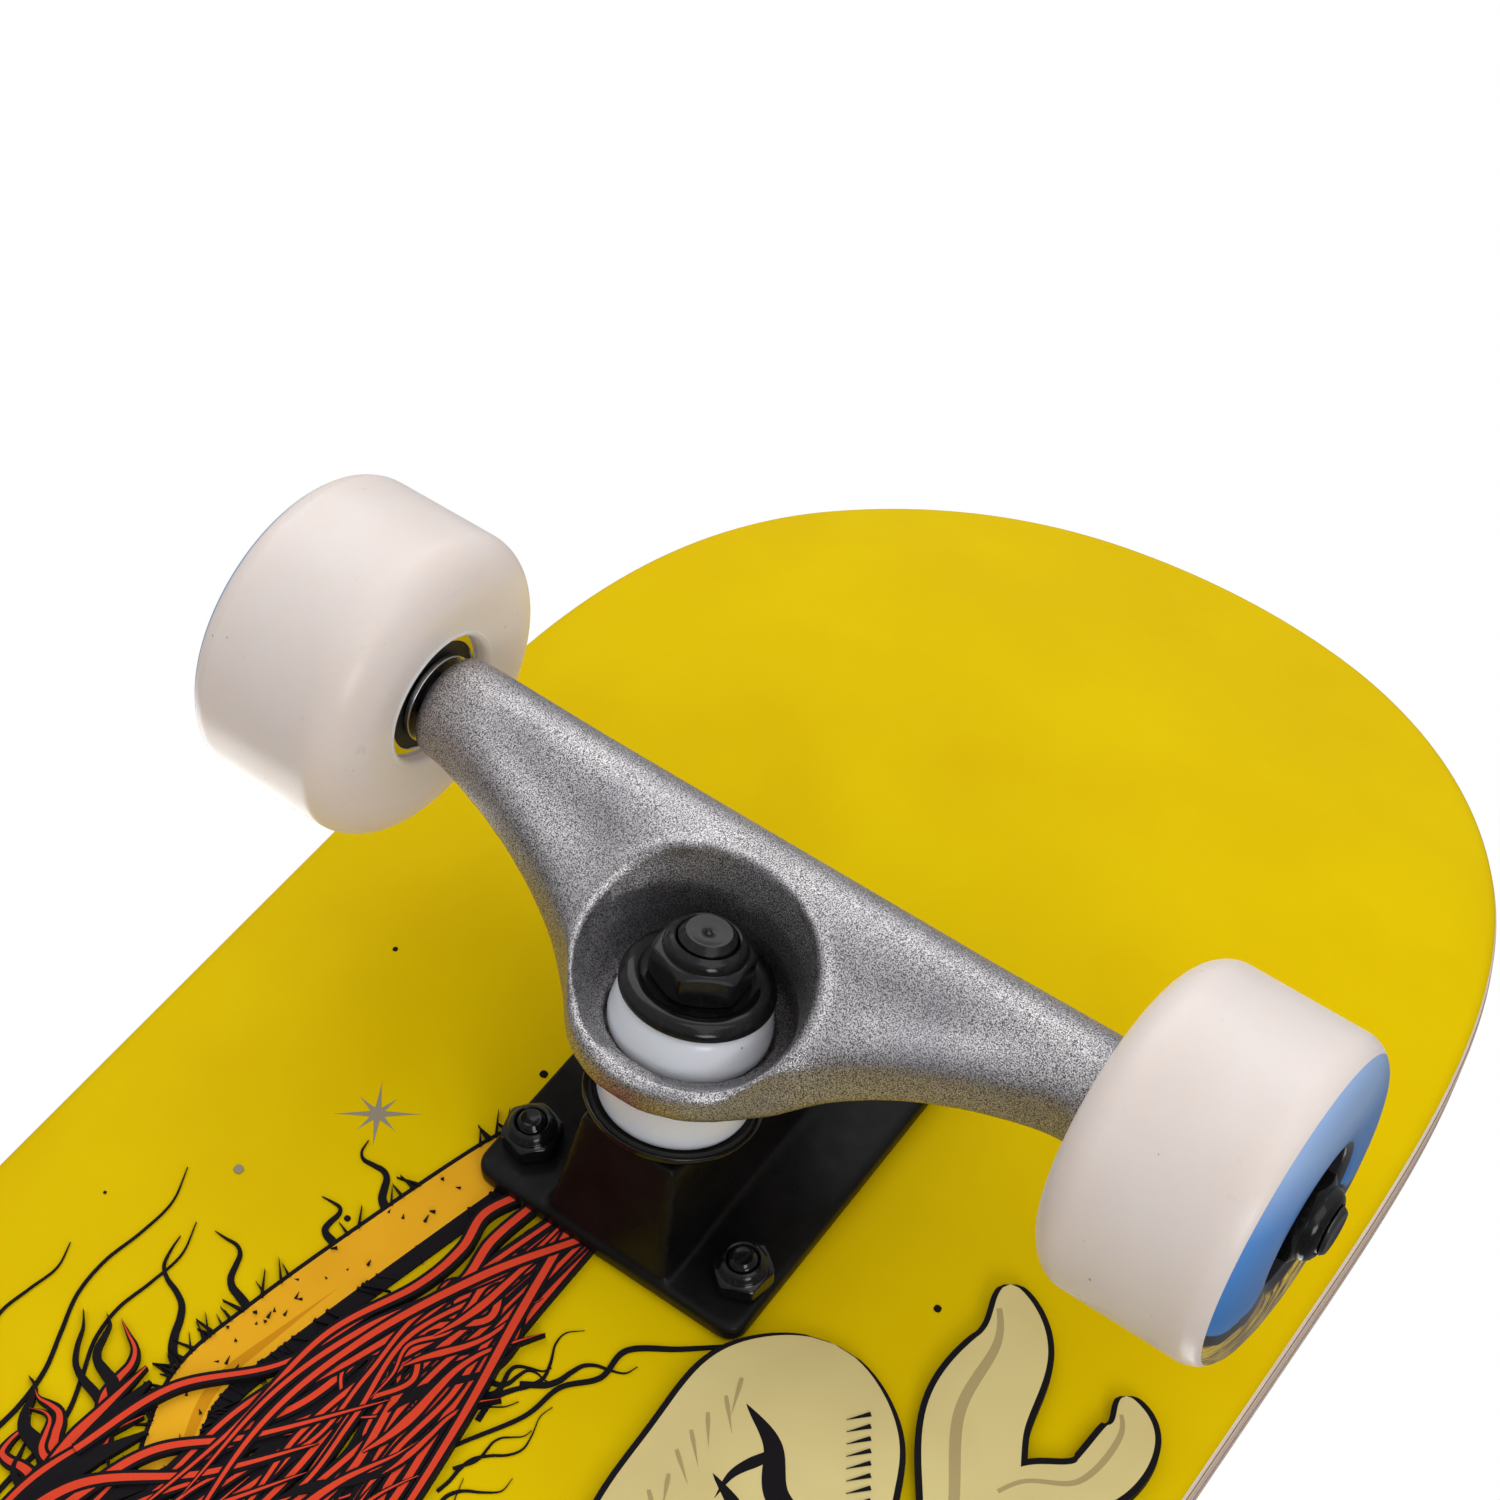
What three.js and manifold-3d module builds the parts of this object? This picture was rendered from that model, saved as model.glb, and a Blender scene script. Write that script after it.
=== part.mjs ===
// Skateboard: a maple deck with grip tape on two kingpin trucks and four bearing wheels.
// Millimetres. +Z is up, +X is the nose, and the wheels stand on z = 0.
//
// Each truck is drawn on the bench: its baseplate lies on w = 0 and w grows away from the deck.
// In bench axes x points to the end of the deck that the truck carries, and y runs along the axle.

import * as THREE from "three";
import { mergeVertices } from "three/addons/utils/BufferGeometryUtils.js";
import Module from "manifold-3d";

const wasm = await Module();
wasm.setup();

// ---------------------------------------------------------------- driving dimensions

const GAP = 0.3; // air left between pieces that touch

const WHEELBASE = 330; // between the inner bolts of the two trucks
const BOLT_SPACING_X = 54;
const BOLT_SPACING_Y = 41.3;

const DECK_HALF_WIDTH = 93.6;
const DECK_THICKNESS = 11;
const NOSE_REACH = 172.5; // from the truck's bolt pattern to the tip
const TAIL_REACH = 166;
const STRAIGHT_REACH = 23.5; // from the bolt pattern to where the outline starts to round
const KICK_START = 48;
const KICK_RADIUS = 200;
const KICK_ANGLE = THREE.MathUtils.degToRad(24.1);
const CONCAVE_FLAT = 26; // half-width of the flat middle
const CONCAVE_RISE = 7.6;
const GRIP_THICKNESS = 0.9;
const GRIP_INSET = 1.6;

const WHEEL_RADIUS = 26.65;
const AXLE_X = 6.7;
const AXLE_W = 51;
const AXLE_RADIUS = 4;
const AXLE_HALF_LENGTH = 97.9;
const HANGER_HALF_LENGTH = 62.4;
const HANGER_BAR_RADIUS = 8.6;
const BEARING_WIDTH = 7;
const BEARING_RADIUS = 11;
const BEARING_INNER_Y = 64.3; // inboard face of the inner bearing
const BEARING_SPACING = 10; // between the two bearings of a wheel

const PLATE_LENGTH = 72.6;
const PLATE_WIDTH = 51.6;
const PLATE_THICKNESS = 4;

const KINGPIN_TILT = THREE.MathUtils.degToRad(16.4);
const KINGPIN_X = -12.14; // the kingpin's axis passes here ...
const KINGPIN_W = 40; // ... at this height, where s = 0
const KINGPIN_RADIUS = 4.6;
const KINGPIN_TOP = 18.1;
const KINGPIN_HEAD = -38;
const SEAT_TOP = 0; // the hanger's ring, in s
const RING_BOTTOM = -4.2;
const RING_RADIUS = 19;
const PEDESTAL_TOP = -18.6;

const PIVOT_MOUTH = 36; // distances from the ring's centre along the steering axis
const PIVOT_TIP = 44;
const PIVOT_RADIUS = 5.6;
const PIVOT_X = 23;
const PIVOT_W = 14.5;

const COLOURS = {
  yellow: 0xdcbe00,
  black: 0x18181a,
  grip: 0x222224,
  cast: 0x8c8c91,
  steel: 0xb4b6ba,
  wheel: 0xe6dfd8,
  bushing: 0xeeeff0,
  pivot: 0x2c2c2e,
};

const TRUCK_X = (WHEELBASE + BOLT_SPACING_X) / 2;
const DECK_UNDERSIDE = AXLE_W + GAP + WHEEL_RADIUS;
const CENTRE_X = (TAIL_REACH - NOSE_REACH) / 2; // keeps the origin at the middle of the deck
const RING_MIDDLE = (SEAT_TOP + RING_BOTTOM) / 2;

// ---------------------------------------------------------------- solids

// Merges shared vertices, drops collapsed triangles and turns the faces outwards.
function closed(geometry) {
  const bare = geometry.clone();
  bare.deleteAttribute("normal");
  bare.deleteAttribute("uv");
  const merged = mergeVertices(bare, 1e-4);
  const position = merged.attributes.position;
  const index = [];
  const corner = [new THREE.Vector3(), new THREE.Vector3(), new THREE.Vector3()];
  let volume = 0;
  for (let i = 0; i < merged.index.count; i += 3) {
    const [a, b, c] = [0, 1, 2].map((k) => merged.index.getX(i + k));
    if (a === b || b === c || c === a) continue;
    [a, b, c].forEach((v, k) => corner[k].fromBufferAttribute(position, v));
    volume += corner[0].dot(corner[1].cross(corner[2]));
    index.push(a, b, c);
  }
  if (volume < 0) index.reverse();
  merged.setIndex(index);
  return merged;
}

function solid(geometry) {
  const shape = closed(geometry);
  return new wasm.Manifold(
    new wasm.Mesh({
      numProp: 3,
      vertProperties: new Float32Array(shape.attributes.position.array),
      triVerts: new Uint32Array(shape.index.array),
    }),
  );
}

function surface(manifold) {
  const mesh = manifold.getMesh();
  const geometry = new THREE.BufferGeometry();
  geometry.setAttribute("position", new THREE.BufferAttribute(mesh.vertProperties, 3));
  geometry.setIndex(new THREE.BufferAttribute(mesh.triVerts, 1));
  return geometry;
}

// A solid of revolution about +Z from [radius, height] points.
function turned(profile, segments) {
  const points = profile.map(([r, z]) => new THREE.Vector2(r, z));
  return new THREE.LatheGeometry(points, segments).rotateX(Math.PI / 2);
}

function rod(radius, low, high, segments) {
  return turned([[0, low], [radius, low], [radius, high], [0, high]], segments);
}

function tube(inner, outer, low, high, segments) {
  return turned([[inner, low], [outer, low], [outer, high], [inner, high], [inner, low]], segments);
}

// A prism on a hexagon, measured across its flats.
function hexagon(flats, low, high) {
  const prism = new THREE.CylinderGeometry(flats / Math.sqrt(3), flats / Math.sqrt(3), high - low, 6);
  return prism.rotateX(Math.PI / 2).translate(0, 0, (low + high) / 2);
}

// Joins closed loops of points into one body with flat ends.
function lofted(loops) {
  const count = loops[0].length;
  const points = loops.flat();
  const index = [];
  for (let row = 0; row + 1 < loops.length; row += 1) {
    for (let k = 0; k < count; k += 1) {
      const a = row * count + k;
      const b = row * count + ((k + 1) % count);
      index.push(a, b, b + count, a, b + count, a + count);
    }
  }
  for (const [start, flip] of [[0, true], [(loops.length - 1) * count, false]]) {
    for (let k = 1; k + 1 < count; k += 1) {
      const [b, c] = flip ? [k + 1, k] : [k, k + 1];
      index.push(start, start + b, start + c);
    }
  }
  const geometry = new THREE.BufferGeometry().setFromPoints(points);
  geometry.setIndex(index);
  return closed(geometry);
}

// An outline in the x-w plane, extruded along y from -half to +half.
function sideExtrusion(outline, half) {
  const shape = new THREE.Shape(outline.map(([x, w]) => new THREE.Vector2(x, w)));
  const body = new THREE.ExtrudeGeometry(shape, { depth: 2 * half, bevelEnabled: false });
  return body.translate(0, 0, -half).rotateX(Math.PI / 2);
}

function roundedPlate(length, width, corner, thickness, bevel) {
  const x = length / 2 - corner - bevel;
  const y = width / 2 - corner - bevel;
  const shape = new THREE.Shape();
  shape.absarc(x, y, corner, 0, Math.PI / 2);
  shape.absarc(-x, y, corner, Math.PI / 2, Math.PI);
  shape.absarc(-x, -y, corner, Math.PI, 1.5 * Math.PI);
  shape.absarc(x, -y, corner, 1.5 * Math.PI, 2 * Math.PI);
  return new THREE.ExtrudeGeometry(shape, {
    depth: thickness - 2 * bevel,
    bevelThickness: bevel,
    bevelSize: bevel,
    bevelSegments: 2,
    curveSegments: 4,
  }).translate(0, 0, bevel);
}

const kingpinFrame = new THREE.Matrix4()
  .makeRotationY(KINGPIN_TILT)
  .setPosition(KINGPIN_X, 0, KINGPIN_W);
const ringCentre = new THREE.Vector3(0, 0, RING_MIDDLE).applyMatrix4(kingpinFrame);
const steeringAngle = Math.atan2(PIVOT_X - ringCentre.x, PIVOT_W - ringCentre.z);
const steeringFrame = new THREE.Matrix4()
  .makeRotationY(steeringAngle)
  .setPosition(ringCentre.x, 0, ringCentre.z);

function onKingpin(geometry) {
  return geometry.applyMatrix4(kingpinFrame);
}

function onSteering(geometry) {
  return geometry.applyMatrix4(steeringFrame);
}

// ---------------------------------------------------------------- deck and grip tape

const boltSpots = [-1, 1].flatMap((end) =>
  [-1, 1].flatMap((x) =>
    [-1, 1].map((y) => [
      CENTRE_X + end * TRUCK_X + (x * BOLT_SPACING_X) / 2,
      (y * BOLT_SPACING_Y) / 2,
    ]),
  ),
);

// Height of the deck's underside above its flat middle, x being measured between the trucks' centres.
function deckRise(x, y) {
  const bendLength = KICK_RADIUS * Math.sin(KICK_ANGLE);
  const beyond = Math.max(Math.abs(x) - TRUCK_X - KICK_START, 0);
  const bent = Math.min(beyond, bendLength);
  const arc = KICK_RADIUS - Math.sqrt(KICK_RADIUS ** 2 - bent ** 2);
  const ramp = (beyond - bent) * Math.tan(KICK_ANGLE);
  const side = Math.max(Math.abs(y) - CONCAVE_FLAT, 0) / (DECK_HALF_WIDTH - CONCAVE_FLAT);
  return arc + ramp + CONCAVE_RISE * side ** 2;
}

// The deck's point at (x, y) and a height t through its thickness. The edge is cut square to the kicks
// and upright along the sides, so the thickness leans with the slope along x only.
function deckPoint(x, y, t) {
  const step = 0.05;
  const slope = (deckRise(x + step, y) - deckRise(x - step, y)) / (2 * step);
  const normal = new THREE.Vector3(-slope, 0, 1).normalize();
  return new THREE.Vector3(x, y, deckRise(x, y)).addScaledVector(normal, t);
}

// Half of the outline from tail to nose, as [x, y, outward normal].
function deckOutline() {
  const steps = 13;
  const width = (t) => DECK_HALF_WIDTH * Math.sqrt(Math.max(1 - t ** 3, 0));
  const end = (reach, sign) => {
    const start = TRUCK_X + STRAIGHT_REACH;
    const length = reach - STRAIGHT_REACH;
    return Array.from({ length: steps + 1 }, (_, k) => {
      const t = Math.sin((k / steps) * (Math.PI / 2));
      return [sign * (start + length * t), width(t)];
    });
  };
  const middle = [-TRUCK_X / 2, 0, TRUCK_X / 2].map((x) => [x, DECK_HALF_WIDTH]);
  const points = [...end(TAIL_REACH, -1).reverse(), ...middle, ...end(NOSE_REACH, 1)];
  return points.map(([x, y], k) => {
    const before = points[Math.max(k - 1, 0)];
    const after = points[Math.min(k + 1, points.length - 1)];
    const atTip = k === 0 || k === points.length - 1;
    const normal = new THREE.Vector2(before[1] - after[1], after[0] - before[0]).normalize();
    if (atTip) normal.set(Math.sign(x), 0);
    return [x, y, normal];
  });
}

// A sheet that follows the deck. The rim is a list of [inset, height] from the lower to the upper face.
function deckSheet(rim, across) {
  const loops = deckOutline().map(([x, y, normal]) => {
    const edge = rim.map(([inset, t]) => [x - inset * normal.x, Math.max(y - inset * normal.y, 0), t]);
    const face = ([ex, ey, t]) =>
      Array.from({ length: across - 1 }, (_, k) => deckPoint(ex, ey * ((2 * (k + 1)) / across - 1), t));
    const right = edge.map(([ex, ey, t]) => deckPoint(ex, ey, t));
    const left = edge.map(([ex, ey, t]) => deckPoint(ex, -ey, t));
    return [...face(edge[0]), ...right, ...face(edge.at(-1)).reverse(), ...left.reverse()];
  });
  return lofted(loops).translate(CENTRE_X, 0, DECK_UNDERSIDE);
}

const boltHeadRadius = 4.7;
const boltRadius = 2.35;
const boltHeadDepth = 2.4;
const boltTop = DECK_THICKNESS + GAP + GRIP_THICKNESS;
const boltLength = boltTop + 11.5;

// The bolt's outline, grown by a clearance, with z = 0 at the top of its head.
function boltOutline(grow) {
  const flare = (grow * boltHeadDepth) / (boltHeadRadius - boltRadius);
  return [
    [0, -boltLength - grow],
    [boltRadius + grow, -boltLength - grow],
    [boltRadius + grow, -boltHeadDepth - flare],
    [boltHeadRadius + grow, -0.3],
    [boltHeadRadius + grow, grow],
    [0, grow],
  ];
}

function makeDeck() {
  const rim = [[2, 0], [0.5, 0.8], [0, 2.4], [0, 8.6], [0.5, 10.2], [2, DECK_THICKNESS]];
  let deck = solid(deckSheet(rim, 8));
  for (const [x, y] of boltSpots) {
    const hole = turned(boltOutline(GAP), 12).translate(x, y, DECK_UNDERSIDE + boltTop);
    deck = deck.subtract(solid(hole));
  }
  return surface(deck);
}

function makeGripTape() {
  const low = DECK_THICKNESS + GAP;
  let tape = solid(deckSheet([[GRIP_INSET, low], [GRIP_INSET, low + GRIP_THICKNESS]], 8));
  for (const [x, y] of boltSpots) {
    const hole = rod(boltHeadRadius + GAP, -3, 3, 12);
    tape = tape.subtract(solid(hole.translate(x, y, DECK_UNDERSIDE + boltTop)));
  }
  return surface(tape);
}

// ---------------------------------------------------------------- fasteners

function makeBolt() {
  const key = hexagon(3.2, -2, 1);
  return surface(solid(turned(boltOutline(0), 12)).subtract(solid(key)));
}

// A lock nut from z = 0 up: a hexagon, and a round collar that holds the nylon ring.
function makeLockNut(flats, hexHeight, collarRadius, height, boreRadius) {
  const body = solid(hexagon(flats, 0, hexHeight));
  const collar = solid(rod(collarRadius, hexHeight / 2, height, 12));
  const bore = solid(rod(boreRadius, -1, height + 1, 10));
  return surface(body.add(collar).subtract(bore));
}

// ---------------------------------------------------------------- baseplate

function makeBaseplate() {
  const plate = solid(roundedPlate(PLATE_LENGTH, PLATE_WIDTH, 2.6, PLATE_THICKNESS, 0.7));
  const front = -PLATE_LENGTH / 2 + 1;
  const pedestalFront = -28.6;
  const pedestalBack = -6;
  const topW = (x) => {
    const s = PEDESTAL_TOP;
    const x0 = KINGPIN_X + s * Math.sin(KINGPIN_TILT);
    const w0 = KINGPIN_W + s * Math.cos(KINGPIN_TILT);
    return w0 - (x - x0) * Math.tan(KINGPIN_TILT);
  };
  const side = solid(
    sideExtrusion(
      [
        [front, 1],
        [front, PLATE_THICKNESS],
        [pedestalFront, topW(pedestalFront)],
        [pedestalBack, topW(pedestalBack)],
        [-3, 13],
        [4, 10],
        [12, 8.5],
        [24, 9],
        [24, 1],
      ],
      14,
    ),
  );
  const taper = new THREE.Shape(
    [[-12, 0], [12, 0], [8.6, 28], [-8.6, 28]].map(([y, w]) => new THREE.Vector2(y, w)),
  );
  const draft = new THREE.ExtrudeGeometry(taper, { depth: 80, bevelEnabled: false })
    .translate(0, 0, -40)
    .rotateX(Math.PI / 2)
    .rotateZ(Math.PI / 2);
  const boss = solid(onSteering(rod(11, PIVOT_MOUTH, PIVOT_MOUTH + 12, 18)));
  const aboveDeck = solid(new THREE.BoxGeometry(200, 200, 100).translate(0, 0, 50));
  let body = plate.add(side.intersect(solid(draft))).add(boss.intersect(aboveDeck));
  const cuts = [
    onKingpin(rod(KINGPIN_RADIUS + GAP, -60, 0, 12)),
    onKingpin(hexagon(15, -60, KINGPIN_HEAD + 6)),
    onSteering(rod(8.7, PIVOT_MOUTH - 5, PIVOT_TIP + 2.3, 18)),
  ];
  for (const x of [-1, 1]) {
    for (const y of [-1, 1]) {
      const hole = rod(boltRadius + GAP, -5, 20, 12);
      cuts.push(hole.translate((x * BOLT_SPACING_X) / 2, (y * BOLT_SPACING_Y) / 2, 0));
    }
  }
  for (const cut of cuts) body = body.subtract(solid(cut));
  return surface(body);
}

function makePivotCup() {
  const outer = 8.3;
  const inner = PIVOT_RADIUS + GAP;
  const floor = PIVOT_TIP + GAP;
  return turned(
    [
      [0, floor],
      [inner, floor],
      [inner, PIVOT_MOUTH],
      [outer, PIVOT_MOUTH],
      [outer, PIVOT_TIP + 2],
      [0, PIVOT_TIP + 2],
    ],
    18,
  );
}

// ---------------------------------------------------------------- hanger

// The opening over the upper bushing. It starts as a round floor with a low rim, and its mouth leans
// towards the middle of the board, so that its back wall climbs to the top of the bar.
function recessLoops() {
  const mouth = { x: -10.8, w: 52.6, tilt: THREE.MathUtils.degToRad(-24.3), along: 17.4, across: 19.2 };
  const floorRadius = 14.4;
  const rim = { s: 1.2, radius: 15.9 };
  const steps = 4;
  const loop = (x, w, tilt, along, across) =>
    Array.from({ length: 24 }, (_, i) => {
      const turn = (i / 24) * 2 * Math.PI;
      const e = along * Math.cos(turn);
      return new THREE.Vector3(x + e * Math.cos(tilt), across * Math.sin(turn), w - e * Math.sin(tilt));
    });
  const rimX = KINGPIN_X + rim.s * Math.sin(KINGPIN_TILT);
  const rimW = KINGPIN_W + rim.s * Math.cos(KINGPIN_TILT);
  const loops = [loop(KINGPIN_X, KINGPIN_W, KINGPIN_TILT, floorRadius, floorRadius)];
  for (let k = 0; k <= steps + 1; k += 1) {
    const f = k / steps;
    // Half of the metal that the recess leaves in front of the axle.
    const bulge = 1.9 * Math.sin(Math.PI * THREE.MathUtils.clamp((f - 0.15) / 0.85, 0, 1));
    const tilt = THREE.MathUtils.lerp(KINGPIN_TILT, mouth.tilt, f);
    const x = THREE.MathUtils.lerp(rimX, mouth.x, f) - bulge;
    const w = THREE.MathUtils.lerp(rimW, mouth.w, f);
    const along = THREE.MathUtils.lerp(rim.radius, mouth.along, f) - bulge;
    const across = THREE.MathUtils.lerp(rim.radius, mouth.across, f ** 0.8);
    loops.push(loop(x, w, tilt, along, across));
  }
  return loops;
}

function makeHanger() {
  const bar = solid(
    turned(
      [
        [0, -HANGER_HALF_LENGTH],
        [HANGER_BAR_RADIUS, -HANGER_HALF_LENGTH],
        [HANGER_BAR_RADIUS + 0.4, -HANGER_HALF_LENGTH + 1],
        [HANGER_BAR_RADIUS, -35],
        [HANGER_BAR_RADIUS, 35],
        [HANGER_BAR_RADIUS + 0.4, HANGER_HALF_LENGTH - 1],
        [HANGER_BAR_RADIUS, HANGER_HALF_LENGTH],
        [0, HANGER_HALF_LENGTH],
      ],
      22,
    )
      .rotateX(-Math.PI / 2)
      .translate(AXLE_X, 0, AXLE_W),
  );

  // Seen along the kingpin: the round ring, and flares that sweep out to the bar.
  const plan = new THREE.Shape();
  plan.moveTo(22, 57);
  plan.lineTo(6.5, 57);
  plan.bezierCurveTo(1, 36, -2.5, 21, -10.5, 15.9);
  plan.absarc(0, 0, RING_RADIUS, Math.PI - 0.987, Math.PI + 0.987);
  plan.bezierCurveTo(-2.5, -21, 1, -36, 6.5, -57);
  plan.lineTo(22, -57);
  const planBody = new THREE.ExtrudeGeometry(plan, { depth: 60, bevelEnabled: false, curveSegments: 8 });

  // Seen along the axle: from the ring's lower face up to the mouth's plane and the bar's top.
  const alongKingpin = (e, s) => {
    const point = new THREE.Vector3(e, 0, s).applyMatrix4(kingpinFrame);
    return [point.x, point.z];
  };
  const sideBody = sideExtrusion(
    [
      alongKingpin(-RING_RADIUS - 2, RING_BOTTOM),
      alongKingpin(-RING_RADIUS - 2, 0.6),
      alongKingpin(-16.5, 1.4),
      alongKingpin(-12, 2),
      [2.8, 59.1],
      [AXLE_X + 7, AXLE_W + 5],
      [AXLE_X + 6, AXLE_W - 6],
      [11, 34],
      alongKingpin(15, RING_BOTTOM),
    ],
    60,
  );

  // Seen along the board: the underside rises from the ring to the bar.
  const front = new THREE.Shape();
  front.moveTo(-60, 30);
  front.lineTo(-60, 11);
  front.bezierCurveTo(-46, 10.5, -31, 7, -19.5, -3.5);
  front.lineTo(-15, RING_BOTTOM - 0.5);
  front.lineTo(15, RING_BOTTOM - 0.5);
  front.lineTo(19.5, -3.5);
  front.bezierCurveTo(31, 7, 46, 10.5, 60, 11);
  front.lineTo(60, 30);
  const frontBody = new THREE.ExtrudeGeometry(front, { depth: 80, bevelEnabled: false, curveSegments: 6 })
    .translate(0, 0, -40)
    .rotateX(Math.PI / 2)
    .rotateZ(Math.PI / 2);

  const yoke = solid(onKingpin(planBody.translate(0, 0, -20)))
    .intersect(solid(sideBody))
    .intersect(solid(onKingpin(frontBody)));

  // The stem runs from under the bar to the round nose that turns in the pivot cup.
  const stem = turned(
    [
      [0, 12],
      [8.5, 12],
      [8.5, 20],
      [6.6, 32],
      [PIVOT_RADIUS, 34.5],
      [PIVOT_RADIUS, PIVOT_TIP - 2.5],
      [3.6, PIVOT_TIP - 0.4],
      [0, PIVOT_TIP],
    ],
    20,
  );
  const web = sideExtrusion([[2, 30], [2, 46], [11, 45], [15, 31], [14, 22], [8, 21]], 6);

  let body = bar.add(yoke).add(solid(onSteering(stem))).add(solid(web));
  const cuts = [
    lofted(recessLoops()),
    onKingpin(rod(7.4, -12, 6, 16)),
    onKingpin(rod(13.2, SEAT_TOP - 2, 4, 20)),
    onKingpin(rod(12.7, -10, RING_BOTTOM + 1.4, 20)),
    onKingpin(rod(16.8, -30, RING_BOTTOM, 24)),
    rod(AXLE_RADIUS + GAP, -80, 80, 16).rotateX(-Math.PI / 2).translate(AXLE_X, 0, AXLE_W),
  ];
  for (const cut of cuts) body = body.subtract(solid(cut));
  return surface(body);
}

// ---------------------------------------------------------------- kingpin, washers and bushings

const UPPER_WASHER = 6.2; // lower edge of the upper washer's rim, in s
const NUT_SEAT = 9;
const LOWER_RIM = -15.7; // upper edge of the lower washer's rim

function makeKingpin() {
  const shaft = solid(
    turned(
      [
        [0, KINGPIN_HEAD + 2],
        [KINGPIN_RADIUS, KINGPIN_HEAD + 2],
        [KINGPIN_RADIUS, KINGPIN_TOP - 0.6],
        [KINGPIN_RADIUS - 0.6, KINGPIN_TOP],
        [0, KINGPIN_TOP],
      ],
      16,
    ),
  );
  const head = solid(hexagon(14.3, KINGPIN_HEAD, KINGPIN_HEAD + 5.6));
  return surface(shaft.add(head));
}

function makeUpperWasher() {
  const inner = KINGPIN_RADIUS + GAP;
  return turned(
    [
      [inner, UPPER_WASHER],
      [11.6, UPPER_WASHER],
      [12.05, UPPER_WASHER + 0.5],
      [11.8, UPPER_WASHER + 1.5],
      [10.6, UPPER_WASHER + 2.2],
      [9.2, NUT_SEAT - 0.3],
      [inner, NUT_SEAT - 0.3],
      [inner, UPPER_WASHER],
    ],
    20,
  );
}

function makeLowerWasher() {
  const inner = KINGPIN_RADIUS + GAP;
  const base = PEDESTAL_TOP + GAP;
  return turned(
    [
      [inner, base],
      [12.6, base],
      [14, base + 1],
      [14.2, LOWER_RIM - 0.3],
      [13.9, LOWER_RIM],
      [12.7, LOWER_RIM],
      [12.5, base + 1.5],
      [inner, base + 1.5],
      [inner, base],
    ],
    20,
  );
}

function makeUpperBushing() {
  const low = SEAT_TOP - 2 + GAP;
  const high = UPPER_WASHER - GAP;
  const inner = KINGPIN_RADIUS + GAP;
  return turned(
    [[inner, low], [12.6, low], [12.7, 1], [11.9, high - 1], [11.4, high], [inner, high], [inner, low]],
    20,
  );
}

function makeLowerBushing() {
  const low = PEDESTAL_TOP + 2 * GAP + 1.5;
  const high = RING_BOTTOM + 1.4 - GAP;
  const inner = KINGPIN_RADIUS + GAP;
  return turned(
    [[inner, low], [11.6, low], [12.1, low + 1], [12.1, high - 1], [11.6, high], [inner, high], [inner, low]],
    20,
  );
}

// ---------------------------------------------------------------- axle, wheel and bearings

// Heights of these profiles are distances from the board's middle along the axle.
const bearingFaces = [BEARING_INNER_Y, BEARING_INNER_Y + BEARING_WIDTH + BEARING_SPACING];
const outerWasherY = bearingFaces[1] + BEARING_WIDTH + GAP;
const axleNutY = outerWasherY + 1 + GAP;

function makeAxle() {
  const end = AXLE_HALF_LENGTH;
  return rod(AXLE_RADIUS, -end, end, 16);
}

function makeWheel() {
  const tread = [69, 87.8];
  const innerFace = 61.9;
  const shoulder = [tread[0] - innerFace, 9];
  const profile = [];
  for (let k = 0; k <= 4; k += 1) {
    const turn = (k / 4) * (Math.PI / 2);
    profile.push([
      WHEEL_RADIUS - shoulder[1] * (1 - Math.sin(turn)),
      tread[0] - shoulder[0] * Math.cos(turn),
    ]);
  }
  const seat = BEARING_RADIUS + GAP;
  profile.push(
    [WHEEL_RADIUS, tread[1] - 0.6],
    [WHEEL_RADIUS - 0.5, tread[1] + 0.4],
    [25, 91],
    [23, 92.8],
    [20, 93.9],
    [16, 94.3],
    [12.5, 94],
    [seat, 93.1],
    [seat, bearingFaces[1] - GAP],
    [8.4, bearingFaces[1] - GAP],
    [8.4, bearingFaces[0] + BEARING_WIDTH + GAP],
    [seat, bearingFaces[0] + BEARING_WIDTH + GAP],
    [seat, 62.7],
    [12.2, 62.1],
    profile[0],
  );
  return turned(profile, 24);
}

// ---------------------------------------------------------------- assembly

const board = new THREE.Group();
board.name = "skateboard";

function place(parent, name, geometry, colour, roughness, metalness) {
  const material = new THREE.MeshStandardMaterial({ color: COLOURS[colour], roughness, metalness });
  const mesh = new THREE.Mesh(closed(geometry), material);
  mesh.name = name;
  parent.add(mesh);
  return mesh;
}

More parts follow.
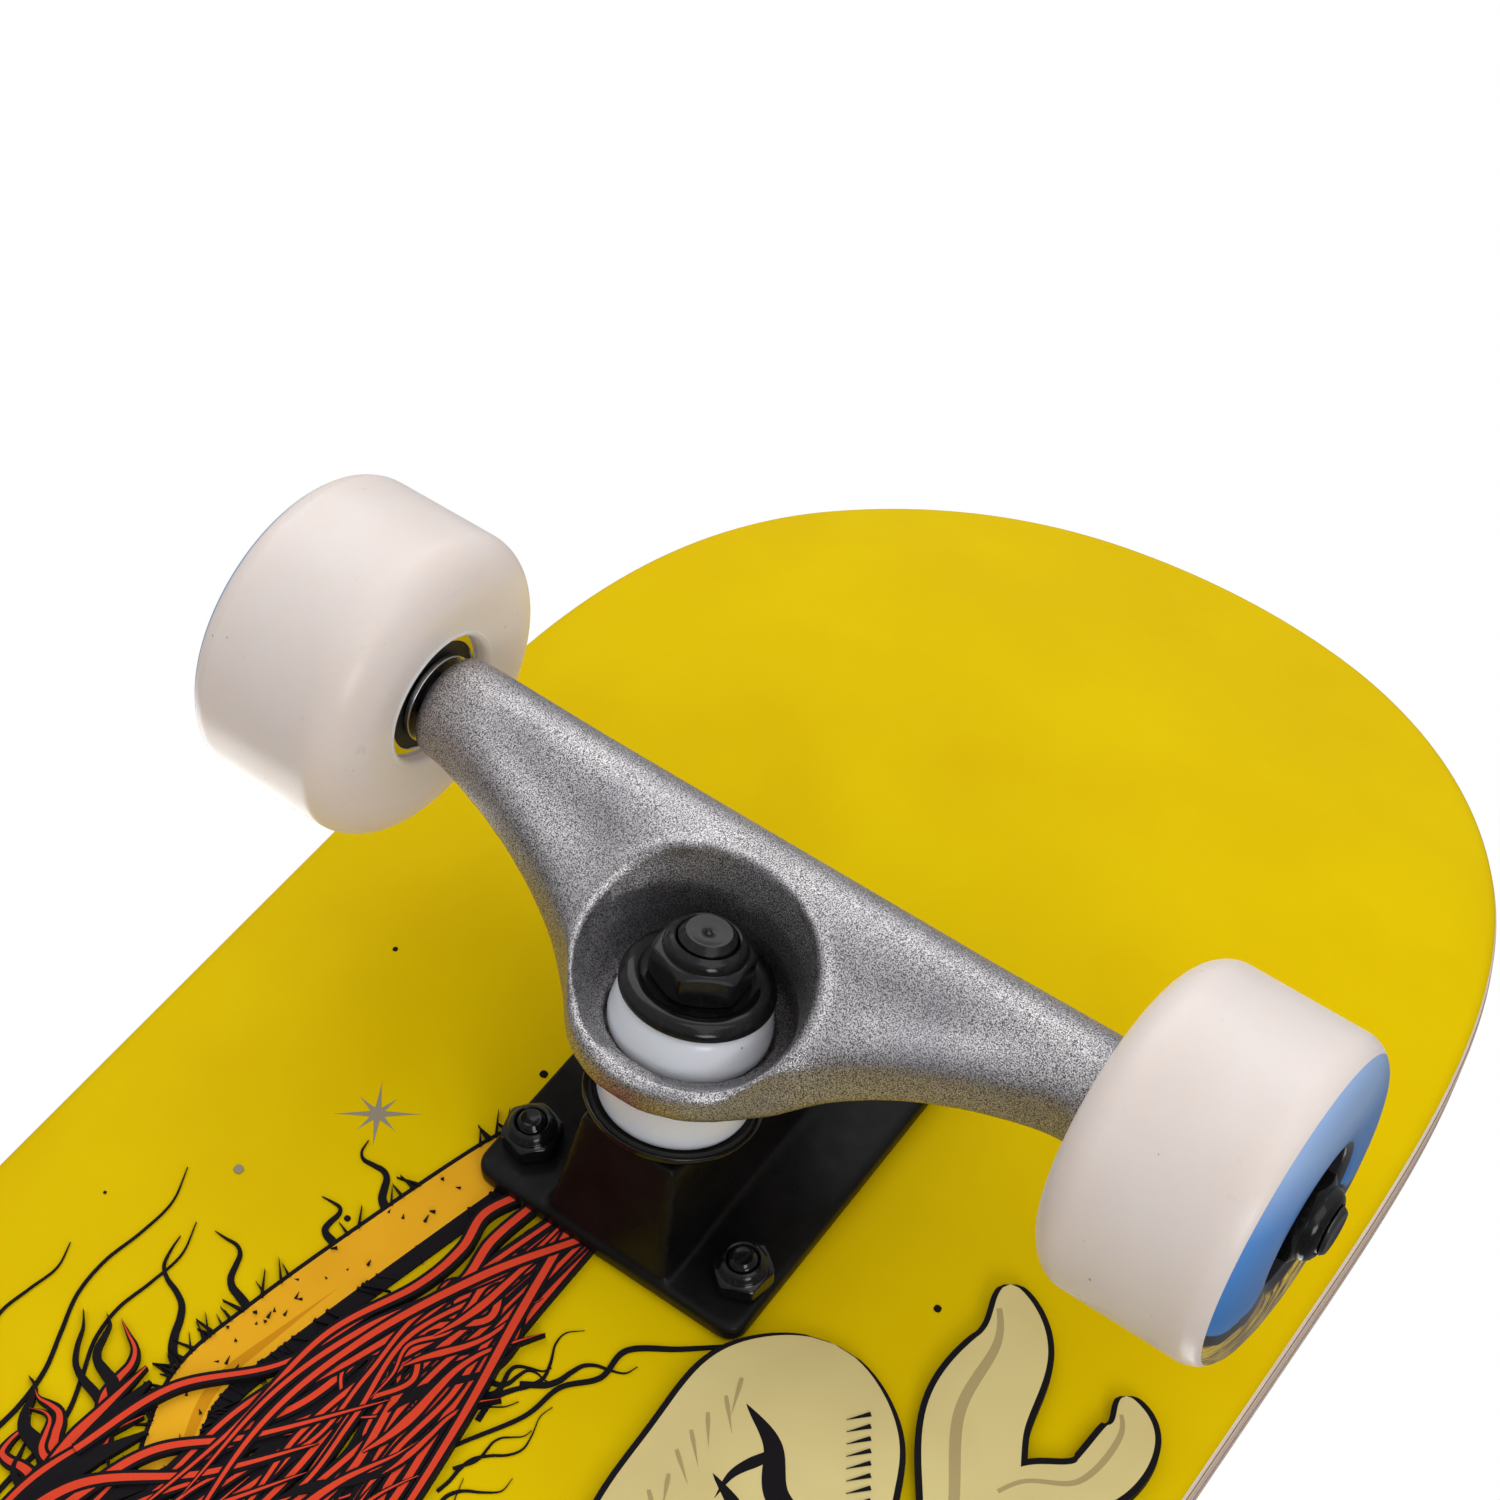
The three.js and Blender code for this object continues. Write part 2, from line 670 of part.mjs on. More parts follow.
function addTruck(end, sign) {
  const truck = new THREE.Group();
  truck.position.set(CENTRE_X + sign * TRUCK_X, 0, DECK_UNDERSIDE);
  // The bench's w axis points down under the deck, and its x axis points to the truck's own end.
  if (sign > 0) truck.rotation.x = Math.PI;
  else truck.rotation.y = Math.PI;
  board.add(truck);

  const standing = new THREE.Group();
  standing.position.z = GAP;
  truck.add(standing);
  place(standing, `${end}_baseplate`, makeBaseplate(), "black", 0.5, 0.3);
  place(standing, `${end}_pivot_cup`, onSteering(makePivotCup()), "pivot", 0.7, 0);

  const kingpin = new THREE.Group();
  kingpin.position.set(KINGPIN_X, 0, KINGPIN_W + GAP);
  kingpin.rotation.y = KINGPIN_TILT;
  truck.add(kingpin);
  place(kingpin, `${end}_kingpin`, makeKingpin(), "black", 0.4, 0.8);
  place(kingpin, `${end}_lower_washer`, makeLowerWasher(), "black", 0.4, 0.8);
  place(kingpin, `${end}_lower_bushing`, makeLowerBushing(), "bushing", 0.5, 0);
  place(kingpin, `${end}_upper_bushing`, makeUpperBushing(), "bushing", 0.5, 0);
  place(kingpin, `${end}_upper_washer`, makeUpperWasher(), "black", 0.4, 0.8);
  const kingpinNut = makeLockNut(14.3, 5.2, 6.8, 7.8, KINGPIN_RADIUS + GAP);
  const nutMesh = place(kingpin, `${end}_kingpin_nut`, kingpinNut, "black", 0.4, 0.8);
  nutMesh.position.z = NUT_SEAT;
  nutMesh.rotation.z = Math.PI / 6;

  place(standing, `${end}_hanger`, makeHanger(), "cast", 0.6, 0.9);

  const axle = new THREE.Group();
  axle.position.set(AXLE_X, 0, AXLE_W + GAP);
  truck.add(axle);
  place(axle, `${end}_axle`, makeAxle(), "steel", 0.3, 1).rotation.x = Math.PI / 2;

  for (const side of ["left", "right"]) {
    // On the bench the left side of the front truck is at -y, and that of the rear truck is at +y.
    const outward = side === "left" ? -sign : sign;
    const half = new THREE.Group();
    half.rotation.x = (-outward * Math.PI) / 2;
    axle.add(half);
    const corner = `${end}_${side}`;
    place(half, `${corner}_wheel`, makeWheel(), "wheel", 0.4, 0);
    bearingFaces.forEach((face, k) => {
      const bearing = tube(AXLE_RADIUS + GAP, BEARING_RADIUS, face, face + BEARING_WIDTH, 16);
      place(half, `${corner}_${k === 0 ? "inner" : "outer"}_bearing`, bearing, "steel", 0.3, 1);
    });
    const washer = tube(AXLE_RADIUS + GAP, 7.6, outerWasherY, outerWasherY + 1, 16);
    place(half, `${corner}_speed_washer`, washer, "steel", 0.3, 1);
    const nut = makeLockNut(12.7, 4.8, 5.9, 7, AXLE_RADIUS + GAP);
    place(half, `${corner}_axle_nut`, nut, "black", 0.4, 0.8).position.z = axleNutY;
  }

  let number = 1;
  for (const x of [-1, 1]) {
    for (const y of [-1, 1]) {
      const fastener = new THREE.Group();
      fastener.position.set((x * BOLT_SPACING_X) / 2, (y * BOLT_SPACING_Y) / 2, 0);
      truck.add(fastener);
      const bolt = place(fastener, `${end}_bolt_${number}`, makeBolt(), "black", 0.4, 0.8);
      bolt.position.z = -boltTop;
      bolt.rotation.x = Math.PI;
      const nut = makeLockNut(9.5, 3.8, 4.3, 5.6, boltRadius + GAP);
      const seat = PLATE_THICKNESS + 2 * GAP;
      place(fastener, `${end}_nut_${number}`, nut, "black", 0.4, 0.8).position.z = seat;
      number += 1;
    }
  }
}

place(board, "deck", makeDeck(), "yellow", 0.35, 0);
place(board, "grip_tape", makeGripTape(), "grip", 0.95, 0);
addTruck("front", 1);
addTruck("rear", -1);

export default board;
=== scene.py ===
"""Looks for the skateboard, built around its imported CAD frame.

The scene is in metres, and shapes are in millimetres, times MM. +X is the nose, +Y the left side and
+Z up out of the grip tape. Each truck's pieces are made on a bench: x points to the truck's own end of
the deck, y runs along the axle, and z (also called w) grows away from the deck, from 0 on its underside.
"""

import math
import random

import bmesh
import bpy
import numpy as np
from mathutils import Matrix, Vector

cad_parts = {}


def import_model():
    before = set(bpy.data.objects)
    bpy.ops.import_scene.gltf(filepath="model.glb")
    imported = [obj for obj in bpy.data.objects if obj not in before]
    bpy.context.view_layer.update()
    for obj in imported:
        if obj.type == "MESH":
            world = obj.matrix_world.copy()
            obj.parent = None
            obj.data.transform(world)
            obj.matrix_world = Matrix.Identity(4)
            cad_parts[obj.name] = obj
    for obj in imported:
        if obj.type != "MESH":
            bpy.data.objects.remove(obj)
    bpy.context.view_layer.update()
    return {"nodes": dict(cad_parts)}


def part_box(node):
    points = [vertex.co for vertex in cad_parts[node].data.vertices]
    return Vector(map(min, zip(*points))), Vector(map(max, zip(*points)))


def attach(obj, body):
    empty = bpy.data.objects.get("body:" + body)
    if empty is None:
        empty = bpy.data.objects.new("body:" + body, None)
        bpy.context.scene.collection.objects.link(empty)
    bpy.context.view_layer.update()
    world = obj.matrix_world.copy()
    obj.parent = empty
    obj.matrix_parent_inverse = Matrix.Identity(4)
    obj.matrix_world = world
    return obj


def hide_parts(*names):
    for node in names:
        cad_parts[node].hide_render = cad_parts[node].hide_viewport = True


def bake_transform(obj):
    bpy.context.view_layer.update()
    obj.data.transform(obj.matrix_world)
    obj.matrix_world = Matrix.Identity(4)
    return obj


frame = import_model()

MM = 0.001
TAU = 2 * math.pi
ENDS = ("front", "rear")
SIDES = {"left": 1, "right": -1}

# ---------------------------------------------------------------- sizes, mostly in millimetres

# The deck, as the CAD has it, with its kicks, its concave and its bolts.
DECK_THICKNESS = 11.0
GRIP_TOP = 12.2
RIM_WIDTH = 93.6
KICK_RADIUS = 200.0
KICK_ANGLE = math.radians(24.1)
CONCAVE_FLAT = 26.0
CONCAVE_RISE = 7.6
BOLT_SPOTS = [(x, y) for x in (-27.0, 27.0) for y in (-20.65, 20.65)]
BOLT_HOLE = 5.0

# The printed art: how far ink stands off the lacquer, each layer's step above the last, and the outline.
INK_BASE = 0.03
INK_STEP = 0.004
INK_LINE = 0.55

# Each truck, on its bench.
PLATE_THICKNESS = 4.3
KINGPIN_TILT = math.radians(16.4)
KINGPIN_FOOT = Vector((-12.14, 0, 40.3))

# The hanger's recess round the kingpin nut: the middle of its mouth, its slant and its half sizes.
MOUTH_X = -10.8
MOUTH_W = 52.6
MOUTH_TILT = math.radians(24.3)
MOUTH_LENGTH = 17.4
MOUTH_WIDTH = 19.2

# Remeshing the castings, and the bar that fills the axle's bore meanwhile.
CASTING_VOXEL = {"front_hanger": 0.5, "front_baseplate": 0.45}
PLUG_RADIUS = 4.9
PLUG_LENGTH = 122.0

# Along the kingpin from its foot.
KINGPIN_NUT_FACE = 9.0

# Along the axle from the middle of the board.
INBOARD_WASHER = 63.1
BEARING_FACES = (64.3, 81.3)
OUTBOARD_WASHER = 88.6
AXLE_NUT_FACE = 89.9
TREAD_EDGES = (69.5, 87.6)

# The wheel's print: which way is up across the wheel, the lines where its colours meet, each with a soft
# edge from one value to the other, and where it ends.
PRINT_UP = (0.26, 0.966)
PRINT_RIDGE = (-4.2, -3.8)
PRINT_FIELD = (-7.8, -7.2)
# The dark hub is partly the print's ink and partly painted shade on the lip and wall of the bearing's
# bore.
PRINT_HUB_INK_AND_SHADE = (12.1, 12.4)
PRINT_RIM = 25.2
# The print reaches down the bore's wall to the outer bearing, where its dark hub is painted shade.
PRINT_AND_SHADE_LOWEST = 88.4

# The studio. The camera's own axes, its place from the front truck, and a floor measured in metres.
CAMERA_RIGHT = Vector((0.588, 0.809, -0.004))
CAMERA_UP = Vector((0.640, -0.467, -0.610))
CAMERA_BACK = Vector((-0.496, 0.356, -0.792))
CAMERA_FROM_TRUCK = Vector((-210.07, 152.71, -430.62))
FOCAL_LENGTH = 73.83
SENSOR_WIDTH = 36.0
FLOOR_REACH = 40.0
FLOOR_DROP = 0.0002
ROOM_BRIGHT_SIDE = (0.3, -0.2, -0.8)
ROOM_DIM = 0.2
ROOM_BRIGHT = 0.85

# ---------------------------------------------------------------- places read from the frame


def node_centre(node):
    """The middle of a CAD node's box, in millimetres."""
    low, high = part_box(node)
    return (low + high) / 2 / MM


def bench_to_row(end):
    """From a truck's bench to the board."""
    x = node_centre(f"{end}_baseplate").x
    turn = Matrix.Rotation(math.pi, 4, "X" if end == "front" else "Y")
    return Matrix.Translation(Vector((x, 0, UNDERSIDE)) * MM) @ turn


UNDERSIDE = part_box("deck")[0].z / MM
FRONT_BENCH = bench_to_row("front")
REAR_BENCH = bench_to_row("rear")
CENTRE_X = (node_centre("front_baseplate").x + node_centre("rear_baseplate").x) / 2
TRUCK_X = node_centre("front_baseplate").x - CENTRE_X
TRUCK_PLACE = Vector((CENTRE_X + TRUCK_X, 0, UNDERSIDE)) * MM
AXLE = FRONT_BENCH.inverted() @ (node_centre("front_axle") * MM) / MM
AXLE_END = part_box("front_axle")[1].y / MM
WHEEL_LOW, WHEEL_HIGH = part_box("front_left_wheel")
WHEEL_RADIUS = (WHEEL_HIGH.z - WHEEL_LOW.z) / 2 / MM

# The deck's outline, from the middle between the trucks.
STRAIGHT = TRUCK_X + 23.5
KICK_START = TRUCK_X + 48
NOSE_TIP = TRUCK_X + 172.5
TAIL_TIP = TRUCK_X + 166.0


def kingpin_to_row(end):
    """From a kingpin's own axis, Z away from the deck, to the board."""
    lean = Matrix.Rotation(KINGPIN_TILT, 4, "Y")
    return bench_to_row(end) @ Matrix.Translation(KINGPIN_FOOT * MM) @ lean


def axle_to_row(end, side):
    """From an axle's own axis, Z outwards from the middle of the board, to the board."""
    centre = node_centre(f"{end}_axle") * MM
    return Matrix.Translation(centre) @ Matrix.Rotation(-SIDES[side] * math.pi / 2, 4, "X")


# ---------------------------------------------------------------- mesh helpers


def linked(name, data):
    """A new object in the scene."""
    obj = bpy.data.objects.new(name, data)
    bpy.context.scene.collection.objects.link(obj)
    return obj


def piece(name, points, faces, materials, slots=None, sharp=35.0, shares=None):
    """A mesh object from millimetre points. Edges that bend more than `sharp` degrees stay crisp.
    The shares, one to a point, say how far up through the deck's plies it is."""
    mesh = bpy.data.meshes.new(name)
    mesh.from_pydata([tuple(np.asarray(p, float) * MM) for p in points], [], [list(f) for f in faces])
    for material in materials:
        mesh.materials.append(material)
    if slots is not None:
        mesh.polygons.foreach_set("material_index", slots)
    if shares is not None:
        ply = mesh.attributes.new("ply", "FLOAT", "POINT")
        ply.data.foreach_set("value", shares.astype(np.float32))
    bm = bmesh.new()
    bm.from_mesh(mesh)
    bmesh.ops.remove_doubles(bm, verts=bm.verts, dist=1e-6)
    bmesh.ops.recalc_face_normals(bm, faces=bm.faces)
    for face in bm.faces:
        face.smooth = True
    for edge in bm.edges:
        edge.smooth = edge.calc_face_angle(0.0) < math.radians(sharp)
    bm.to_mesh(mesh)
    bm.free()
    return linked(name, mesh)


def grid(rows, wrap_rows=False):
    """Points and quads of a grid whose rows are closed loops. Open grids get an end cap at each end."""
    rows = np.asarray(rows, float)
    count, width = rows.shape[:2]
    points = rows.reshape(-1, 3)
    faces = []
    for i in range(count if wrap_rows else count - 1):
        here = i * width
        there = (i + 1) % count * width
        for j in range(width):
            k = (j + 1) % width
            faces.append((here + j, here + k, there + k, there + j))
    if not wrap_rows:
        faces.append(tuple(range(width)))
        faces.append(tuple(reversed(range((count - 1) * width, count * width))))
    return points, faces


def filleted(profile, steps=4):
    """A closed profile of (radius, height, fillet) points with its corners rounded."""
    corners = [np.array(point[:2], float) for point in profile]
    out = []
    for k, corner in enumerate(corners):
        before = corners[k - 1] - corner
        after = corners[(k + 1) % len(corners)] - corner
        room = 0.45 * min(np.linalg.norm(before), np.linalg.norm(after))
        reach = min(profile[k][2], room)
        start = corner + before / np.linalg.norm(before) * reach
        stop = corner + after / np.linalg.norm(after) * reach
        for t in np.linspace(0, 1, steps + 1):
            out.append((1 - t) ** 2 * start + 2 * t * (1 - t) * corner + t**2 * stop)
    return out


def circle(radius, height, count):
    """Points round the Z axis."""
    turns = np.linspace(0, TAU, count, endpoint=False)
    return [(radius * math.cos(a), radius * math.sin(a), height) for a in turns]


def add_to(points, faces, more):
    """Adds another shape's points and faces to the lists."""
    start = len(points)
    points += list(more[0])
    faces += [tuple(v + start for v in face) for face in more[1]]


def lathe(name, profile, materials, segments=96, slot_of=None, sharp=35.0):
    """A solid of revolution about Z from a closed profile."""
    rows = [
        [(r * math.cos(a), r * math.sin(a), z) for r, z in profile]
        for a in np.linspace(0, TAU, segments, endpoint=False)
    ]
    points, faces = grid(rows, wrap_rows=True)
    slots = None
    if slot_of is not None:
        width = len(profile)
        slots = [slot_of(*profile[k % width], *profile[(k + 1) % width]) for k in range(len(faces))]
    return piece(name, points, faces, materials, slots, sharp)


def through(controls, count):
    """A smooth curve of `count` points through the control points."""
    p = np.asarray(controls, float)
    p = np.vstack([2 * p[0] - p[1], p, 2 * p[-1] - p[-2]])
    spans = len(p) - 3
    out = []
    for u in np.linspace(0, spans, count):
        k = min(int(u), spans - 1)
        t = u - k
        a, b, c, d = p[k : k + 4]
        linear_part = 2 * b + (c - a) * t
        square_part = (2 * a - 5 * b + 4 * c - d) * t**2
        cubic_part = (3 * b - a - 3 * c + d) * t**3
        out.append(0.5 * (linear_part + square_part + cubic_part))
    return np.array(out)


def applied(obj):
    """Applies the object's modifiers."""
    shape = obj.evaluated_get(bpy.context.evaluated_depsgraph_get())
    mesh = bpy.data.meshes.new_from_object(shape)
    obj.modifiers.clear()
    obj.data = mesh


def carve(obj, cutter, crossing=False):
    """Cuts one piece out of another. The parts of a crossing cutter run through each other."""
    cut = obj.modifiers.new("cut", "BOOLEAN")
    cut.operation = "DIFFERENCE"
    cut.solver = "EXACT"
    cut.object = cutter
    cut.use_self = crossing
    applied(obj)
    bpy.data.objects.remove(cutter)


def put(obj, matrix, body, replaces=()):
    """Places a piece, names its body, and hides the CAD nodes that it stands for."""
    obj.matrix_world = matrix @ obj.matrix_world
    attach(obj, body)
    if replaces:
        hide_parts(*replaces)


def spread(template, name, matrix, body, replaces=()):
    """Puts another object with a template's mesh in place."""
    put(linked(name, template.data), matrix, body, replaces)


def lift(height):
    return Matrix.Translation((0, 0, height * MM))


def spun(angle):
    return Matrix.Rotation(angle, 4, "Z")


# ---------------------------------------------------------------- materials


def linear(red, green, blue):
    """A colour given as it looks on a screen, 0 to 255."""
    channels = (c / 255 for c in (red, green, blue))
    return (*(c / 12.92 if c < 0.04045 else ((c + 0.055) / 1.055) ** 2.4 for c in channels), 1.0)


class Graph:
    """Short helpers for a node tree."""

    def __init__(self, tree):
        self.tree = tree

    def node(self, kind, inputs=(), **settings):
        made = self.tree.nodes.new(kind)
        for key, value in settings.items():
            setattr(made, key, value)
        for key, value in dict(inputs).items():
            self.feed(made.inputs[key], value)
        return made

    def feed(self, socket, value):
        if isinstance(value, bpy.types.NodeSocket):
            self.tree.links.new(value, socket)
        else:
            socket.default_value = value


class Finish(Graph):
    """A Principled material with helpers for its patterns. Sockets are named with _ for a space."""

    def __init__(self, name, **sockets):
        self.material = bpy.data.materials.new(name)
        self.material.use_nodes = True
        super().__init__(self.material.node_tree)
        self.surface = self.tree.nodes["Principled BSDF"]
        self.bumps = None
        for key, value in sockets.items():
            self.feed(self.surface.inputs[key.replace("_", " ")], value)
        self.where = self.node("ShaderNodeTexCoord").outputs["Object"]

    def stretched(self, x, y, z):
        inputs = {"Vector": self.where, "Scale": (x, y, z)}
        return self.node("ShaderNodeMapping", inputs).outputs["Vector"]

    def noise(self, size, detail=2.0, rough=0.5, where=None):
        """Noise with features about `size` millimetres across."""
        vector = self.where if where is None else where
        inputs = {"Vector": vector, "Scale": 1 / (size * MM), "Detail": detail, "Roughness": rough}
        return self.node("ShaderNodeTexNoise", inputs).outputs["Fac"]

    def cells(self, size):
        inputs = {"Vector": self.where, "Scale": 1 / (size * MM)}
        return self.node("ShaderNodeTexVoronoi", inputs).outputs["Distance"]

    def ramp(self, value, *stops, hard=False):
        """Maps a number to colours: stops are (position, colour)."""
        made = self.node("ShaderNodeValToRGB", {"Fac": value})
        ramp = made.color_ramp
        if hard:
            ramp.interpolation = "CONSTANT"
        while len(ramp.elements) < len(stops):
            ramp.elements.new(0.5)
        for element, (position, colour) in zip(ramp.elements, stops):
            element.position = position
        for element, (position, colour) in zip(ramp.elements, stops):
            element.color = colour if len(colour) == 4 else (*colour, 1.0)
        return made.outputs["Color"]

    def span(self, value, low, high, start=0.0, stop=1.0):
        """Maps start..stop to low..high."""
        inputs = {"Value": value, "From Min": start, "From Max": stop, "To Min": low, "To Max": high}
        return self.node("ShaderNodeMapRange", inputs).outputs["Result"]

    def math(self, operation, first, second=0.0):
        return self.node("ShaderNodeMath", {0: first, 1: second}, operation=operation).outputs[0]

    def mix(self, factor, first, second):
        made = self.node("ShaderNodeMix", data_type="RGBA")
        for key, value in (("Factor", factor), ("A", first), ("B", second)):
            sockets = [s for s in made.inputs if s.name == key and s.enabled]
            self.feed(sockets[0], value)
        return next(s for s in made.outputs if s.enabled)

    def colour(self, value):
        self.feed(self.surface.inputs["Base Color"], value)

    def rough(self, value):
        self.feed(self.surface.inputs["Roughness"], value)

    def bump(self, height, depth):
        """Adds relief, `depth` millimetres deep."""
        inputs = {"Height": height, "Distance": depth * MM}
        if self.bumps is not None:
            inputs["Normal"] = self.bumps
        self.bumps = self.node("ShaderNodeBump", inputs).outputs["Normal"]
        self.feed(self.surface.inputs["Normal"], self.bumps)


def lacquer(name, light, dark):
    """Printed lacquer: a slightly uneven colour under a satin coat with a faint orange peel."""
    f = Finish(name, Specular_IOR_Level=0.02, IOR=1.46)
    f.colour(f.mix(f.span(f.noise(38, 3), 0, 1, 0.35, 0.65), light, dark))
    f.rough(f.span(f.noise(2.2, 3), 0.36, 0.5, 0.3, 0.7))
    f.bump(f.noise(1.1, 2), 0.012)
    f.bump(f.noise(14, 1), 0.05)
    return f.material


def ply_edge():
    """Seven maple plies with dark glue lines. The "ply" attribute runs from 0 below to 1 on top."""
    f = Finish("ply_edge", IOR=1.45)
    ply = f.node("ShaderNodeAttribute", attribute_name="ply").outputs["Fac"]
    grain = f.noise(1.0, 5, 0.65, f.stretched(0.08, 0.08, 2.2))
    pale, warm, rose = linear(236, 220, 203), linear(222, 198, 176), linear(205, 170, 150)
    glue = linear(120, 88, 70)
    stops = [(0.0, linear(214, 178, 20)), (0.055, pale)]
    for k, shade in enumerate((warm, pale, rose, pale, warm, pale)):
        at = (k + 1) / 7
        stops += [(at - 0.012, glue), (at + 0.012, shade)]
    colour = f.ramp(ply, *stops, hard=True)
    f.colour(f.mix(f.span(grain, 0, 0.35, 0.4, 0.75), colour, linear(168, 132, 104)))
    f.rough(f.span(grain, 0.5, 0.7))
    f.bump(grain, 0.08)
    return f.material


def maple_top():
    f = Finish("maple_top", IOR=1.45)
    grain = f.noise(1.4, 5, 0.6, f.stretched(0.05, 1, 1))
    f.colour(f.ramp(grain, (0.3, linear(196, 160, 122)), (0.7, linear(226, 198, 160))))
    f.rough(f.span(grain, 0.45, 0.6))
    f.bump(grain, 0.03)
    return f.material


def grip_grit():
    """Silicon-carbide grit: packed dark grains, a few of them painted light as glints."""
    f = Finish("grip_grit", Specular_IOR_Level=0.6)
    grain = f.cells(0.55)
    fine = f.noise(0.28, 3, 0.7)
    # A few grains are painted lighter: painted glints in the base colour.
    painted_glint = f.ramp(
        f.noise(0.45, 1),
        (0.0, (0.012, 0.012, 0.013)),
        (0.66, (0.02, 0.02, 0.022)),
        (0.8, (0.16, 0.16, 0.17)),
    )
    scuff = f.span(f.noise(45, 4, 0.6), 0, 0.35, 0.5, 0.75)
    f.colour(f.mix(scuff, painted_glint, (0.055, 0.054, 0.052, 1)))
    f.rough(f.span(fine, 0.55, 0.95))
    f.bump(grain, 0.25)
    f.bump(fine, 0.15)
    return f.material


def cast_aluminium():
    """A bead-blasted casting: crisp fine grain and a little mottling."""
    f = Finish("cast_aluminium", Metallic=0.9)
    grain = f.noise(0.21, 1, 0.5)
    blast = f.noise(0.45, 2, 0.6)
    mottle = f.noise(14, 3, 0.6)
    dots = f.span(grain, 0, 1, 0.38, 0.6)
    body = f.mix(dots, linear(88, 86, 90), linear(208, 204, 204))
    f.colour(f.mix(f.span(mottle, 0, 0.35, 0.42, 0.7), body, linear(122, 122, 130)))
    f.rough(f.span(blast, 0.28, 0.46, 0.3, 0.7))
    f.bump(grain, 0.06)
    f.bump(blast, 0.075)
    return f.material


def black_satin():
    """Satin powder coat with a faint pebble."""
    f = Finish("black_satin", Specular_IOR_Level=0.12)
    f.colour(f.ramp(f.noise(9, 3), (0.3, (0.0038, 0.0035, 0.0036)), (0.7, (0.0075, 0.0066, 0.0064))))
    f.rough(f.span(f.noise(3, 4, 0.6), 0.26, 0.4, 0.3, 0.7))
    f.bump(f.noise(0.5, 2), 0.01)
    f.bump(f.noise(4, 2), 0.05)
    return f.material


def black_oxide():
    """Oiled black oxide, smooth and a little worn."""
    f = Finish("black_oxide", Specular_IOR_Level=0.3)
    wear = f.span(f.noise(0.9, 4, 0.7), 0, 1, 0.52, 0.72)
    f.colour(f.mix(wear, (0.0045, 0.0045, 0.005, 1), (0.013, 0.0125, 0.0125, 1)))
    f.rough(f.span(f.noise(1.6, 4, 0.6), 0.11, 0.2, 0.3, 0.7))
    f.bump(f.noise(0.3, 3), 0.008)
    return f.material


def bright_steel(name, shade=0.55, rough=(0.12, 0.3)):
    """Turned steel with fine rings."""
    f = Finish(name, Metallic=1.0)
    turning = f.noise(0.25, 2, 0.5, f.stretched(0.15, 0.15, 4))
    dark = shade * 0.75
    f.colour(f.mix(turning, (shade, shade, shade * 0.99, 1), (dark, dark, shade * 0.76, 1)))
    f.rough(f.span(turning, *rough))
    f.bump(turning, 0.004)
    return f.material


def rubber(name, shade):
    f = Finish(name, IOR=1.5)
    f.colour(f.mix(f.noise(2, 3), (shade, shade, shade, 1), (shade * 1.6, shade * 1.6, shade * 1.55, 1)))
    f.rough(f.span(f.noise(0.7, 3), 0.5, 0.7))
    f.bump(f.noise(0.4, 2), 0.02)
    return f.material


def urethane(name, light, dark, turned_lines=False, rough=(0.24, 0.36), painted_glow=0.0):
    """Cast urethane, slightly translucent. A wheel's tread also has the fine lines of its turning."""
    # The emission is painted light: a glow that lifts the urethane's shaded sides.
    f = Finish(name, IOR=1.5, Specular_IOR_Level=0.4, Emission_Color=dark, Emission_Strength=painted_glow)
    inner_light = {"Weight": 0.6, "Scale": 0.009, "Radius": (1.0, 0.7, 0.5)}
    for key, value in inner_light.items():
        f.feed(f.surface.inputs[f"Subsurface {key}"], value)
    specks = f.ramp(f.noise(0.9, 0), (0.0, (0, 0, 0)), (0.885, (0, 0, 0)), (0.895, (1, 1, 1)))
    body = f.mix(f.span(f.noise(21, 2), 0, 1, 0.3, 0.7), light, dark)
    f.colour(f.mix(specks, body, linear(140, 128, 118)))
    f.rough(f.span(f.noise(5, 3), *rough))
    f.bump(f.noise(0.8, 2), 0.008)
    if turned_lines:
        axial = f.node("ShaderNodeSeparateXYZ", {"Vector": f.where}).outputs["Z"]
        wave = f.math("SINE", f.math("MULTIPLY", axial, TAU / (0.36 * MM)))
        patch = f.span(f.noise(17, 2), 0, 1, 0.42, 0.62)
        f.bump(f.math("MULTIPLY", wave, patch), 0.006)
    return f.material


